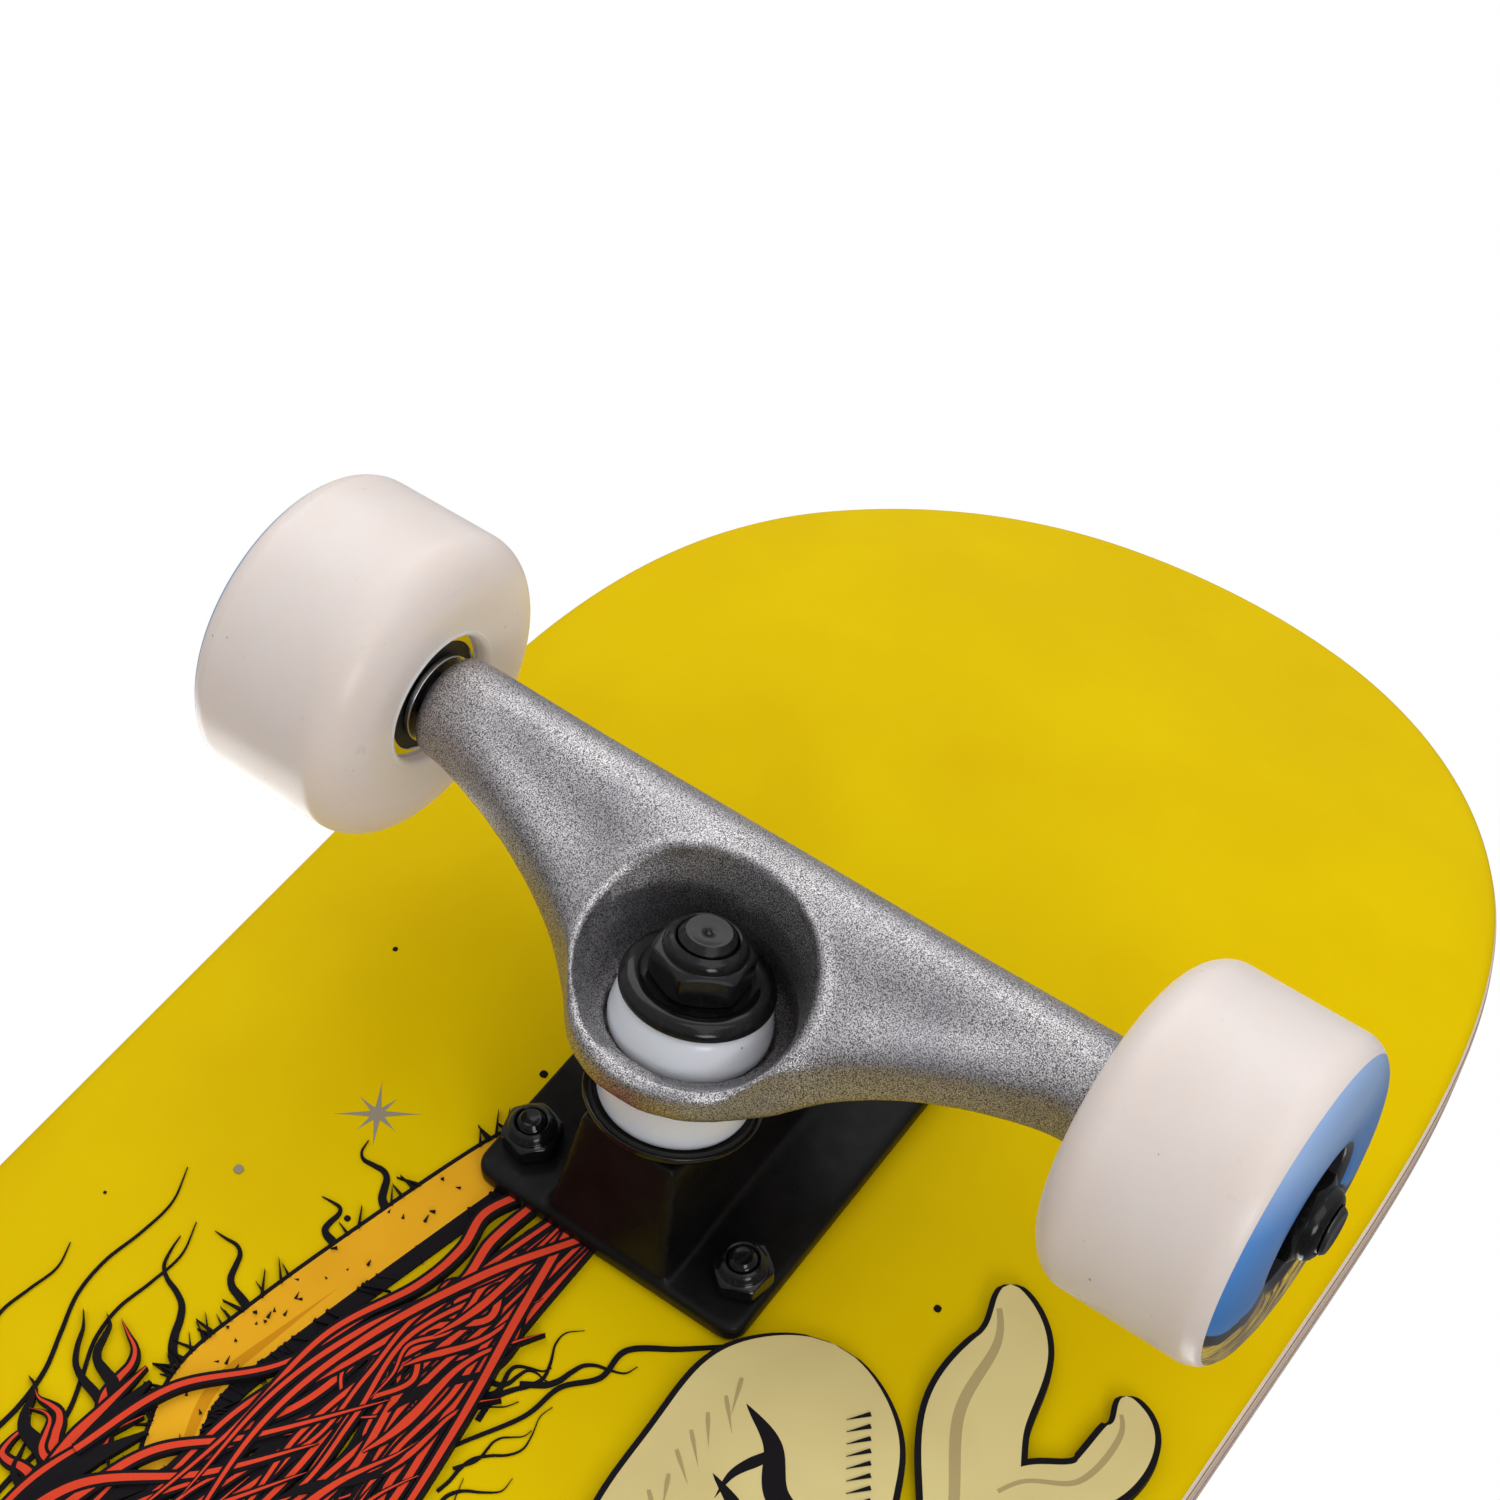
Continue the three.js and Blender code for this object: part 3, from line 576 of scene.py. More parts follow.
def wheel_print():
    """The wheel's generic print: a blue sky over a dark ridge and a striped yellow field."""
    f = Finish("wheel_print", IOR=1.5, Coat_Weight=0.3, Coat_Roughness=0.2)
    axes = f.node("ShaderNodeSeparateXYZ", {"Vector": f.where}).outputs
    wobble = f.math("MULTIPLY", f.math("SUBTRACT", f.noise(9, 3), 0.5), 0.009)
    up = f.math("ADD", *(f.math("MULTIPLY", axes[axis], share) for axis, share in zip("XY", PRINT_UP)))
    height = f.math("ADD", up, wobble)
    sky = f.ramp(
        f.span(up, 0, 1, -0.013, 0.02),
        (0.0, linear(88, 142, 196)),
        (0.35, linear(58, 122, 190)),
        (0.75, linear(84, 140, 208)),
        (1.0, linear(150, 180, 222)),
    )
    streak = f.noise(1.6, 4, 0.6, f.stretched(0.25, 1.6, 1))
    field = f.ramp(
        streak,
        (0.42, linear(70, 62, 54)),
        (0.5, linear(186, 150, 40)),
        (0.6, linear(226, 196, 70)),
    )
    ridge = f.span(height, 1, 0, *(edge * MM for edge in PRINT_RIDGE))
    below = f.span(height, 1, 0, *(edge * MM for edge in PRINT_FIELD))
    squares = [f.math("POWER", axes[axis], 2.0) for axis in "XY"]
    from_axle = f.math("SQRT", f.math("ADD", *squares))
    # Dark hub: partly the print's ink, partly painted shade on the bore's lip and wall.
    hub_ink_and_shade = f.span(from_axle, 1, 0, *(edge * MM for edge in PRINT_HUB_INK_AND_SHADE))
    inked = f.mix(ridge, sky, linear(52, 46, 44))
    f.colour(f.mix(hub_ink_and_shade, f.mix(below, inked, field), linear(44, 42, 46)))
    f.rough(f.span(f.noise(3, 2), 0.26, 0.38))
    f.bump(f.noise(0.7, 2), 0.01)
    return f.material


def ink(name, red, green, blue):
    light = linear(red, green, blue)
    dark = linear(red * 0.93, green * 0.91, blue * 0.9)
    return lacquer(name, light, dark)


YELLOW = lacquer("yellow_lacquer", linear(219, 188, 0), linear(214, 180, 0))
PLY = ply_edge()
MAPLE = maple_top()
GRIT = grip_grit()
CAST = cast_aluminium()
SATIN = black_satin()
OXIDE = black_oxide()
STEEL = bright_steel("bright_steel")
AXLE_STEEL = bright_steel("axle_steel", 0.09, (0.25, 0.4))
RACE = bright_steel("bearing_race", 0.7, (0.05, 0.14))
SHIELD = rubber("bearing_shield", 0.012)
CUP = rubber("pivot_urethane", 0.03)
# The wheels glow a little: painted light that lifts their shaded sides.
WHEEL = urethane(
    "wheel_urethane", linear(218, 209, 204), linear(214, 203, 196), turned_lines=True, painted_glow=0.12
)
PRINT = wheel_print()
BUSHING = urethane(
    "bushing_urethane", linear(226, 226, 230), linear(219, 219, 223), rough=(0.12, 0.24)
)
INKS = {
    "red": ink("red_ink", 218, 70, 44),
    "orange": ink("orange_ink", 232, 170, 34),
    "shade": ink("shade_ink", 206, 140, 22),
    "cream": ink("cream_ink", 216, 200, 138),
    "tan": ink("tan_ink", 176, 158, 110),
    "grey": ink("grey_ink", 150, 142, 122),
    "black": ink("black_ink", 27, 25, 28),
}

# ---------------------------------------------------------------- deck and grip tape


def deck_rise(x, y):
    """Height of the underside over its flat middle. x starts at the middle between the trucks."""
    bend = KICK_RADIUS * math.sin(KICK_ANGLE)
    beyond = np.maximum(np.abs(x) - KICK_START, 0)
    bent = np.minimum(beyond, bend)
    arc = KICK_RADIUS - np.sqrt(KICK_RADIUS**2 - bent**2)
    ramp = (beyond - bent) * math.tan(KICK_ANGLE)
    side = np.maximum(np.abs(y) - CONCAVE_FLAT, 0) / (RIM_WIDTH - CONCAVE_FLAT)
    return arc + ramp + CONCAVE_RISE * side**2


def deck_point(x, y, t):
    """The point t above the underside at (x, y), measured square to the kicks."""
    step = 0.05
    slope = (deck_rise(x + step, y) - deck_rise(x - step, y)) / (2 * step)
    length = math.sqrt(1 + slope * slope)
    height = deck_rise(x, y) + t / length
    return (x - slope * t / length + CENTRE_X, y, height + UNDERSIDE)


def deck_outline(steps=64):
    """Half of the outline from tail to nose, as (x, y, outward normal)."""

    def tip(reach, sign):
        length = reach - STRAIGHT
        shares = np.sin(np.linspace(0, math.pi / 2, steps))
        return [
            (sign * (STRAIGHT + length * share), RIM_WIDTH * math.sqrt(max(1 - share**3, 0)))
            for share in shares
        ]

    middle = [(x, RIM_WIDTH) for x in np.linspace(-STRAIGHT, STRAIGHT, 60)[1:-1]]
    points = np.array(tip(TAIL_TIP, -1)[::-1] + middle + tip(NOSE_TIP, 1))
    tangents = np.gradient(points, axis=0)
    normals = np.stack([-tangents[:, 1], tangents[:, 0]], axis=1)
    normals /= np.linalg.norm(normals, axis=1)[:, None]
    normals[0] = (-1, 0)
    normals[-1] = (1, 0)
    return list(zip(points[:, 0], points[:, 1], normals))


def deck_sheet(name, rim, across, materials, slot_of):
    """A sheet that follows the deck. The rim lists (inset, height) from the lower to the upper face."""
    rows, heights = [], []
    for x, y, normal in deck_outline():
        edge = [(x - inset * normal[0], max(y - inset * normal[1], 0.0), t) for inset, t in rim]
        shares = [2 * (k + 1) / across - 1 for k in range(across - 1)]
        low = [(edge[0][0], edge[0][1] * share, edge[0][2]) for share in shares]
        high = [(edge[-1][0], edge[-1][1] * share, edge[-1][2]) for share in reversed(shares)]
        mirrored = [(ex, -ey, t) for ex, ey, t in reversed(edge)]
        loop = low + edge + high + mirrored
        rows.append([deck_point(*p) for p in loop])
        heights.append([p[2] for p in loop])
    points, faces = grid(rows)
    thickness = np.array(heights).ravel()
    slots = [slot_of(thickness[face[0]], thickness[face[1]]) for face in faces]
    return piece(name, points, faces, materials, slots, 50, thickness / DECK_THICKNESS)


def bored(obj, low, high):
    """Cuts the eight bolt holes between two heights."""
    points, faces = [], []
    for end in ENDS:
        base = node_centre(f"{end}_baseplate").x
        for x, y in BOLT_SPOTS:
            place = np.array((base + x, y, 0))
            rings = [[place + point for point in circle(BOLT_HOLE, z, 40)] for z in (low, high)]
            add_to(points, faces, grid(rings))
    carve(obj, piece("cutter", points, faces, obj.data.materials))


ROUNDED_FOOT = [(2.6, 0), (1.5, 0.2), (0.75, 0.75), (0.25, 1.6), (0.0, 2.8)]
ROUNDED_TOP = [(0.0, 8.2), (0.25, 9.4), (0.75, 10.25), (1.5, 10.8), (2.6, DECK_THICKNESS)]
DECK_RIM = ROUNDED_FOOT + [(0.0, 4.5), (0.0, 6.5)] + ROUNDED_TOP
GRIP_RIM = [(1.7, DECK_THICKNESS), (1.6, 11.3), (1.6, 11.9), (1.8, GRIP_TOP)]


def deck_slot(first, second):
    """Lacquer below, bare plies on the edge and bare maple on top, by the heights of two corners."""
    if max(first, second) <= 0.76:
        return 0
    return 2 if min(first, second) > 10.9 else 1


deck = deck_sheet("maple_deck", DECK_RIM, 34, [YELLOW, PLY, MAPLE], deck_slot)
grip = deck_sheet("grip_sheet", GRIP_RIM, 40, [GRIT], lambda a, b: 0)
bored(grip, UNDERSIDE + 10, UNDERSIDE + 14)
bored(deck, UNDERSIDE + 9.2, UNDERSIDE + 14)
put(deck, Matrix(), "deck", ["deck"])
put(grip, Matrix(), "deck", ["grip_tape"])

# ---------------------------------------------------------------- printed art on the underside


class Art:
    """Ink laid on the deck in thin slabs, each a hair above the one before."""

    def __init__(self):
        self.level = 0
        self.points = {colour: [] for colour in INKS}
        self.faces = {colour: [] for colour in INKS}
        self.centre = 0.0
        self.sign = 1

    def lay(self, colour, line, widths, rails=4):
        """A ribbon along a plan curve, in the coordinates of one end of the deck."""
        line = np.asarray(line, float)
        along = np.gradient(line, axis=0)
        along /= np.linalg.norm(along, axis=1)[:, None] + 1e-9
        side = np.stack([-along[:, 1], along[:, 0]], axis=1)
        widths = np.maximum(widths, 0.04)
        rise = INK_BASE + INK_STEP * self.level
        rows = []
        for point, normal, width in zip(line, side, widths):
            plan = [point + normal * width * (k / rails - 0.5) for k in range(rails + 1)]
            plan = np.array([(self.centre + self.sign * x, self.sign * y) for x, y in plan])
            height = deck_rise(plan[:, 0] - CENTRE_X, plan[:, 1]) + UNDERSIDE
            top = np.column_stack([plan, height - rise])
            foot = np.column_stack([plan, height + 0.02])[::-1]
            rows.append(np.vstack([top, foot]))
        add_to(self.points[colour], self.faces[colour], grid(rows))
        self.level += 1

    def hair(self, colour, line, width, start, power, outline=INK_LINE):
        """A tapering ribbon, with a black outline if it has a colour."""
        widths = taper(len(line), width, start, power)
        if colour == "black":
            self.lay(colour, line, widths)
        else:
            self.outlined(colour, line, widths, outline)

    def outlined(self, colour, line, widths, line_width):
        """A ribbon over a wider black one, whose outline runs out at the tips."""
        fading = np.minimum(np.asarray(widths) / 0.7, 1)
        self.lay("black", line, widths + 2 * line_width * fading)
        self.lay(colour, line, widths)


def taper(count, width, start, power):
    """Widths that swell from `start` of the full width and run out to a point."""
    t = np.linspace(0, 1, count)
    return width * np.minimum(start + (1 - start) * (t / 0.25), 1) * (1 - t) ** power


def rounded_widths(count, width):
    """Widths with a blunt, rounded end at each side."""
    t = np.linspace(-1, 1, count)
    return width * np.sqrt(np.maximum(1 - np.abs(t) ** 3.2, 0))


def wander(rng, start, stop, sway, waves):
    """Control points of a hair that sways to either side on its way."""
    start = np.array(start, float)
    run = np.array(stop, float) - start
    side = np.array([-run[1], run[0]]) / (np.linalg.norm(run) + 1e-9)
    phase = rng.uniform(0, TAU)
    count = 3 + 2 * waves
    out = []
    for k in range(count + 1):
        t = k / count
        push = sway * math.sin(phase + TAU * waves * t / 2) * (0.3 + 0.7 * t)
        out.append(start + run * t + side * push)
    return out


def draw_strands(art, rng):
    """A mane of red strands in loose bundles, flowing from the baseplate towards the middle."""
    # Dark strands underneath.
    for _ in range(26):
        line = strand_line(rng, rng.random(), rng.uniform(-66, -46), rng.uniform(-190, -96), 1.5)
        art.hair("black", line, rng.uniform(1.6, 4.6), 0.1, 0.8)
    # A second bundle beside the band.
    for k in range(18):
        root = (-94 - 5 * k + rng.uniform(-3, 3), -40 + rng.uniform(-7, 9))
        tail = (root[0] - rng.uniform(50, 80), root[1] - rng.uniform(-6, 18))
        line = through(wander(rng, root, tail, rng.uniform(2, 6), 2), 110)
        art.hair("black", line, rng.uniform(3, 6), 0.1, 0.6)
        art.hair("red", line + (1.5, rng.uniform(-3, 3)), rng.uniform(1.1, 2.2), 0.1, 0.6)
    # The red strands, of which each third is short.
    for k in range(30):
        share = rng.random()
        far = rng.uniform(-215, -125) if k % 3 else rng.uniform(-104, -66)
        line = strand_line(rng, share, rng.uniform(-35, -31), far, rng.uniform(1, 4))
        art.hair("red", line, rng.uniform(0.8, 1.4), 0.5, 0.6)
    # Pointed tips that lift off the mane's edge.
    for k in range(12):
        start = (-62 - 7 * k, rng.uniform(-14, -4))
        stop = (start[0] + rng.uniform(20, 34), start[1] + rng.uniform(8, 14))
        line = through(wander(rng, start, stop, rng.uniform(1, 2.5), 2), 90)
        if k % 3 == 2:
            art.hair("black", line, 2.4, 0.1, 0.9)
        else:
            art.hair("red", line, rng.uniform(1.2, 1.9), 0.1, 0.9, 0.45)
    # Strands that sweep back over the others.
    for k in range(9):
        start = (-92 - 10 * k, -34 + rng.uniform(-6, 8))
        bend = (start[0] + rng.uniform(8, 18), start[1] + rng.uniform(8, 14))
        stop = (bend[0] + rng.uniform(14, 26), bend[1] + rng.uniform(4, 16))
        sweep = through([(start[0] - 16, start[1] - 5), start, bend, stop], 120)
        art.hair("red", sweep, rng.uniform(1.2, 1.8), 0.8, 0.6)
    # Single strands that leave from under the baseplate.
    roots = (
        [(-34, -16.5), (-41, -19.5), (-48, -18.5), (-57, -20), (-72, -26), (-92, -27), (-112, -30)],
        [(-34, -14), (-44, -15.5), (-54, -15), (-68, -22), (-84, -26), (-104, -26)],
        [(-35, -7), (-52, -4), (-72, 0), (-96, 3), (-124, 3)],
        [(-35, -4), (-50, -13), (-70, -21), (-90, -24), (-116, -20)],
    )
    for root in roots:
        art.hair("red", through(root, 130), 1.5, 0.7, 0.5)


def strand_line(rng, share, start_x, far, sway):
    """A strand's path. Share 0 runs along the orange band and share 1 along the mane's other side."""
    stations = [30, 46, 58, 72, 88, 106, 130, 165, 215]
    left = [-9.5, -13, -17.5, -22, -26, -32, -42, -50, -52]
    right = [-2.5, -3, -3.5, -2, 0, 2, 3, 6, 10]
    phase, waves = rng.uniform(0, TAU), rng.uniform(1.5, 3.5)
    out = []
    for k, x in enumerate(np.linspace(start_x, far, 9)):
        low, high = np.interp(-x, stations, left), np.interp(-x, stations, right)
        push = sway * math.sin(phase + waves * k * TAU / 8) * min(k / 3, 1)
        out.append((x, low + (high - low) * share + push))
    return through(out, 150)


def draw_flames(art, rng):
    """Black and red tongues that flare out from the mane's edge."""
    for k in range(30):
        x = rng.uniform(-185, -92)
        start = (x, -38 - 0.12 * (-86 - x) + rng.uniform(-4, 5))
        stop = (x + rng.uniform(6, 24), start[1] - rng.uniform(8, 24))
        line = through(wander(rng, start, stop, rng.uniform(1.5, 3.5), 3), 80)
        if k % 3:
            art.hair("black", line, rng.uniform(2.2, 4.4), 0.1, 0.9)
        else:
            art.hair("red", line, rng.uniform(1.6, 2.6), 0.1, 0.9)


def draw_wisps(art, rng):
    """Thin black hairs that stray from the mane, and a few long ones that wander over the yellow."""
    for _ in range(34):
        x = rng.uniform(-175, -58)
        start = (x, rng.uniform(-4, 3) + (-58 - x) * 0.03)
        stop = (x + rng.uniform(4, 22), start[1] + rng.uniform(4, 14))
        line = through(wander(rng, start, stop, rng.uniform(1, 3), 3), 70)
        art.hair("black", line, rng.uniform(0.6, 1.4), 0.8, 0.9)
    for y, reach in ((-66, 73), (-73, 52), (-58, 66)):
        line = through(wander(rng, (-134, y + 12), (-134 + reach, y), 2.6, 4), 160)
        art.hair("black", line, 1.0, 0.8, 0.5)
    long_hair = [(-36, 25), (-41, 19), (-46, 12.5), (-52, 12), (-57, 8), (-64, 6.5), (-74, 1), (-84, -3)]
    art.hair("black", through(long_hair, 160), 1.0, 0.6, 0.3)
    over_the_band = (
        ((-49, -32), (-41, -44)),
        ((-60, -35), (-52, -42)),
        ((-76, -39), (-66, -52)),
        ((-88, -42), (-72, -58)),
    )
    for start, stop in over_the_band:
        art.hair("black", through(wander(rng, start, stop, 1.8, 3), 70), 1.6, 1, 0.7)


def draw_band(art, rng):
    """A tapering orange band with a dark edge and short hair strokes."""
    course = [(-24, -20), (-31, -24), (-55.8, -30.5), (-75.5, -35), (-88, -37), (-98, -34), (-106, -30)]
    line = through(course, 150)
    t = np.linspace(0, 1, 150)
    widths = 6.8 + 1.9 * np.sin(math.pi * t) - 0.5 * t**3
    art.lay("black", line + (0.3, 1.3), widths + 3.4)
    art.lay("black", line, widths + 1.5)
    art.lay("orange", line, widths)
    shaded = np.sin(math.pi * np.linspace(0, 1, 90))
    art.lay("shade", line[60:] + (0.6, 2.4), widths[60:] * 0.24 * shaded)
    along = np.gradient(line, axis=0)
    along /= np.linalg.norm(along, axis=1)[:, None]
    side = np.stack([-along[:, 1], along[:, 0]], axis=1)
    for _ in range(150):
        k = rng.randrange(4, 140)
        edge = rng.choice((-0.5, 0.5, rng.uniform(-0.42, 0.42)))
        root = line[k] + side[k] * widths[k] * edge
        outside = abs(edge) == 0.5
        lean = side[k] * (np.sign(edge) if outside else 0.4) + along[k] * rng.uniform(-1, 0.6)
        reach = rng.uniform(2.0, 4.2) if outside else rng.uniform(0.8, 1.8)
        stroke = through([root, root + lean * reach * 0.5, root + lean * reach], 8)
        art.lay("black", stroke, taper(8, 0.5, 1, 1), 2)


def draw_driftwood(art, rng):
    """Cream driftwood shapes with rounded ends, outlined and brushed in black."""
    t = np.linspace(0, 1, 160)
    trunk = through([(-27, 38), (-44, 41), (-66, 46), (-92, 50), (-118, 49), (-140, 44)], 160)
    knots = 0.93 + 0.06 * np.sin(9 * t + 1) + 0.03 * np.sin(21 * t)
    trunk_widths = 49 * np.sqrt(1 - np.abs(2 * t - 1) ** 1.9) * knots
    limbs = [
        (through([(-96, 88), (-76, 84), (-58, 74), (-40, 71), (-24, 62), (-10, 60), (-2, 54)], 120), 15),
        (through([(-36, 70), (-27, 74), (-21, 81), (-11, 82), (-6, 78)], 80), 8.5),
        (through([(-60, 76), (-50, 82), (-38, 82)], 60), 8),
    ]
    shapes = [(trunk, trunk_widths)]
    for line, width in limbs:
        u = np.linspace(0, 1, len(line))
        shapes.append((line, rounded_widths(len(line), width) * (0.85 + 0.17 * np.sin(9 * u + 2))))
    for line, widths in shapes:
        art.lay("black", line, widths + 2.0, 24)
    for line, widths in shapes:
        art.lay("cream", line, widths, 24)
    for line, widths in shapes[1:]:
        art.lay("tan", line[12:-10] + (-0.8, -0.16 * widths.max()), widths[12:-10] * 0.12)
    # Cracks, each with a short spur.
    for k in range(7):
        x = -43 - 12 * k
        y = 33 + 3 * k - 0.5 * k * k
        crack = through([(x, y), (x - 3, y + 7), (x - 9, y + 12), (x - 12, y + 20), (x - 19, y + 24)], 50)
        spur = through([(x - 4, y + 8), (x - 10, y + 5), (x - 15, y + 5)], 30)
        art.lay("black", crack, np.sin(np.linspace(0, math.pi, 50)) ** 0.8 * rng.uniform(2.6, 3.8))
        art.hair("black", spur, 2.4, 0.6, 0.9)
    # Tan grain along the lower edge, and short black strokes at the end.
    for k in range(26):
        root = (-40 - 3.8 * k, 28 + 0.2 * k + rng.uniform(0, 2))
        tip = (root[0] - rng.uniform(3, 6), root[1] + rng.uniform(2, 5))
        art.lay("tan", through([root, tip], 12), taper(12, 0.9, 0.6, 1), 2)
    for k in range(9):
        root = (-33 - 1.6 * k, 49 + 1.1 * k)
        art.lay("black", through([root, (root[0] - 3, root[1] - 2.4)], 10), taper(10, 0.7, 1, 1), 2)


def draw_sparks(art, rng):
    """Small stars and dots scattered over the yellow."""
    for x, y, size in ((-36, -46, 6.5), (-96, 30, 4.5), (-150, -76, 5.5), (-186, 40, 6)):
        for k, share in enumerate((0.64, 1.1, 0.72, 0.95)):
            a = k * math.pi / 4 + 0.2
            arm = np.array([math.cos(a), math.sin(a)]) * size * share
            ray = through([(x, y) - arm, (x, y), (x, y) + arm], 31)
            art.lay("grey", ray, 1.35 * (1 - np.abs(np.linspace(-1, 1, 31))) ** 1.2, 2)
    for _ in range(34):
        x, y = rng.uniform(-190, -8), rng.choice((-1, 1)) * rng.uniform(20, 84)
        size = rng.uniform(0.5, 1.7)
        dot = through([(x - size / 2, y), (x, y), (x + size / 2, y)], 15)
        art.lay(rng.choice(("black", "grey", "black")), dot, rounded_widths(15, size), 4)


art = Art()
for end, sign, seed in (("front", 1, 11), ("rear", -1, 29)):
    art.centre = node_centre(f"{end}_baseplate").x
    art.sign = sign
    art.level = 0
    rng = random.Random(seed)
    for draw in (draw_sparks, draw_wisps, draw_band, draw_flames, draw_strands, draw_driftwood):
        draw(art, rng)
for colour, material in INKS.items():
    sheet = piece(f"print_{colour}", art.points[colour], art.faces[colour], [material], sharp=60)
    put(sheet, Matrix(), "deck")

# ---------------------------------------------------------------- castings


def relaxed(mesh, passes, hold):
    """Rounds a mesh off. `hold` says how firmly each bench point keeps its place, from 0 to 1."""
    count = len(mesh.vertices)
    points = np.empty(count * 3)
    mesh.vertices.foreach_get("co", points)
    points = points.reshape(-1, 3)
    edges = np.empty(len(mesh.edges) * 2, np.int32)
    mesh.edges.foreach_get("vertices", edges)
    first, second = edges.reshape(-1, 2).T
    valence = np.bincount(edges, minlength=count)[:, None]
    give = 0.5 * (1 - hold(points / MM))[:, None]
    for _ in range(passes):
        total = [
            np.bincount(first, points[second, k], count) + np.bincount(second, points[first, k], count)
            for k in range(3)
        ]
        points += (np.stack(total, axis=1) / valence - points) * give
    mesh.vertices.foreach_set("co", points.ravel())
    mesh.update()


def fill_axle_bore(mesh):
    """A bar where the axle runs through the hanger, so that no bore is left to remesh."""
    place = Matrix.Translation((AXLE.x * MM, 0, AXLE.z * MM)) @ Matrix.Rotation(math.pi / 2, 4, "X")
    bm = bmesh.new()
    bm.from_mesh(mesh)
    bmesh.ops.create_cone(
        bm,
        cap_ends=True,
        segments=32,
        radius1=PLUG_RADIUS * MM,
        radius2=PLUG_RADIUS * MM,
        depth=PLUG_LENGTH * MM,
        matrix=place,
    )
    bm.to_mesh(mesh)
    bm.free()


def softened(node, material, passes, hold, filled=None, relief=None):
    """A casting with rounded edges, made on the bench from the CAD node's own shape. `filled` closes its
    bores first, and `relief` says how far each of its points is then moved."""
    mesh = frame["nodes"][node].data.copy()
    mesh.transform(FRONT_BENCH.inverted())
    if filled is not None:
        filled(mesh)
    obj = linked(f"{node}_casting", mesh)
    remesh = obj.modifiers.new("remesh", "REMESH")
    remesh.mode = "VOXEL"
    remesh.voxel_size = CASTING_VOXEL[node] * MM
    applied(obj)
    if relief is not None:
        for vertex in obj.data.vertices:
            vertex.co += relief(vertex.co / MM) * MM
    relaxed(obj.data, passes, hold)
    obj.data.materials.clear()
    obj.data.materials.append(material)
    obj.data.polygons.foreach_set("use_smooth", [True] * len(obj.data.polygons))
    return obj


def smoothstep(low, high, value):
    """Runs from 0 at low to 1 at high."""
    t = np.clip((value - low) / (high - low), 0, 1)
    return t * t * (3 - 2 * t)


def bell(value):
    """1 at zero, and next to nothing from 2 on."""
    return math.exp(-value * value)


def mouth_place(x, y, w):
    """How far out a point is from the recess's middle, 1 at its lip, and its height over the lip."""
    ahead = x - MOUTH_X
    beyond = w - MOUTH_W
    along = ahead * math.cos(MOUTH_TILT) + beyond * math.sin(MOUTH_TILT)
    above = beyond * math.cos(MOUTH_TILT) - ahead * math.sin(MOUTH_TILT)
    return np.hypot(along / MOUTH_LENGTH, y / MOUTH_WIDTH), above


def hanger_relief(point):
    """A low bead round the recess. The flares dip beside the bar and swell again towards their edge."""
    x, y, w = point
    side = abs(y)
    # The flare's own edge slants from the ring to the bar. Across it, 0 is at that edge and 1 at the bar.
    edge = -17 + 0.52 * (side - 20)
    across = (x - edge) / (AXLE.x - edge)
    beside = smoothstep(18, 27, side) * (1 - smoothstep(42, 54, side)) * smoothstep(48.5, 51.5, w)
    rise = beside * (0.7 * bell((across - 0.2) / 0.2) - 1.2 * bell((across - 0.6) / 0.24))
    reach, above = mouth_place(x, y, w)
    bead = 0.8 * bell((reach - 1.05) / 0.045) * bell(above / 2.5)
    return Vector((-bead * math.sin(MOUTH_TILT), 0, rise + bead * math.cos(MOUTH_TILT)))


def hanger_hold(points):
    """The recess and its lip stay crisp. The ring's outside and the flares are well rounded."""
    reach, _ = mouth_place(*points.T)
    return 0.95 * (1 - smoothstep(1.1, 1.26, reach))


def plate_hold(points):
    """The plate's rim and bosses stay fairly crisp, and the pedestal's edges are rounder."""
    return 0.72 - 0.5 * smoothstep(4.5, 8, points[:, 2])


hanger = softened("front_hanger", CAST, 70, hanger_hold, fill_axle_bore, hanger_relief)
plate = softened("front_baseplate", SATIN, 26, plate_hold)
rear_hanger = linked("rear_hanger_casting", hanger.data)
rear_plate = linked("rear_baseplate_casting", plate.data)
put(hanger, FRONT_BENCH, "front_hanger_assembly", ["front_hanger"])
put(rear_hanger, REAR_BENCH, "rear_hanger_assembly", ["rear_hanger"])
put(plate, FRONT_BENCH, "deck", ["front_baseplate"])
put(rear_plate, REAR_BENCH, "deck", ["rear_baseplate"])

# ---------------------------------------------------------------- nuts, bolts, kingpins and axles

# Rings below each thread, as (radius, height).
BOLT_HEAD = [(4.4, 0.0), (4.68, 0.12), (4.7, 0.35), (2.5, 2.5), (2.35, 2.8)]
KINGPIN_HEAD = [(7.6, -38.0), (8.0, -37.6), (8.0, -32.8), (7.6, -32.4)]
KINGPIN_SHANK = [(4.6, -32.0), (4.6, -10.0), (4.6, 7.0)]
AXLE_SHANK = [(4.0, 40.0), (4.0, 61.0), (4.0, 89.0)]

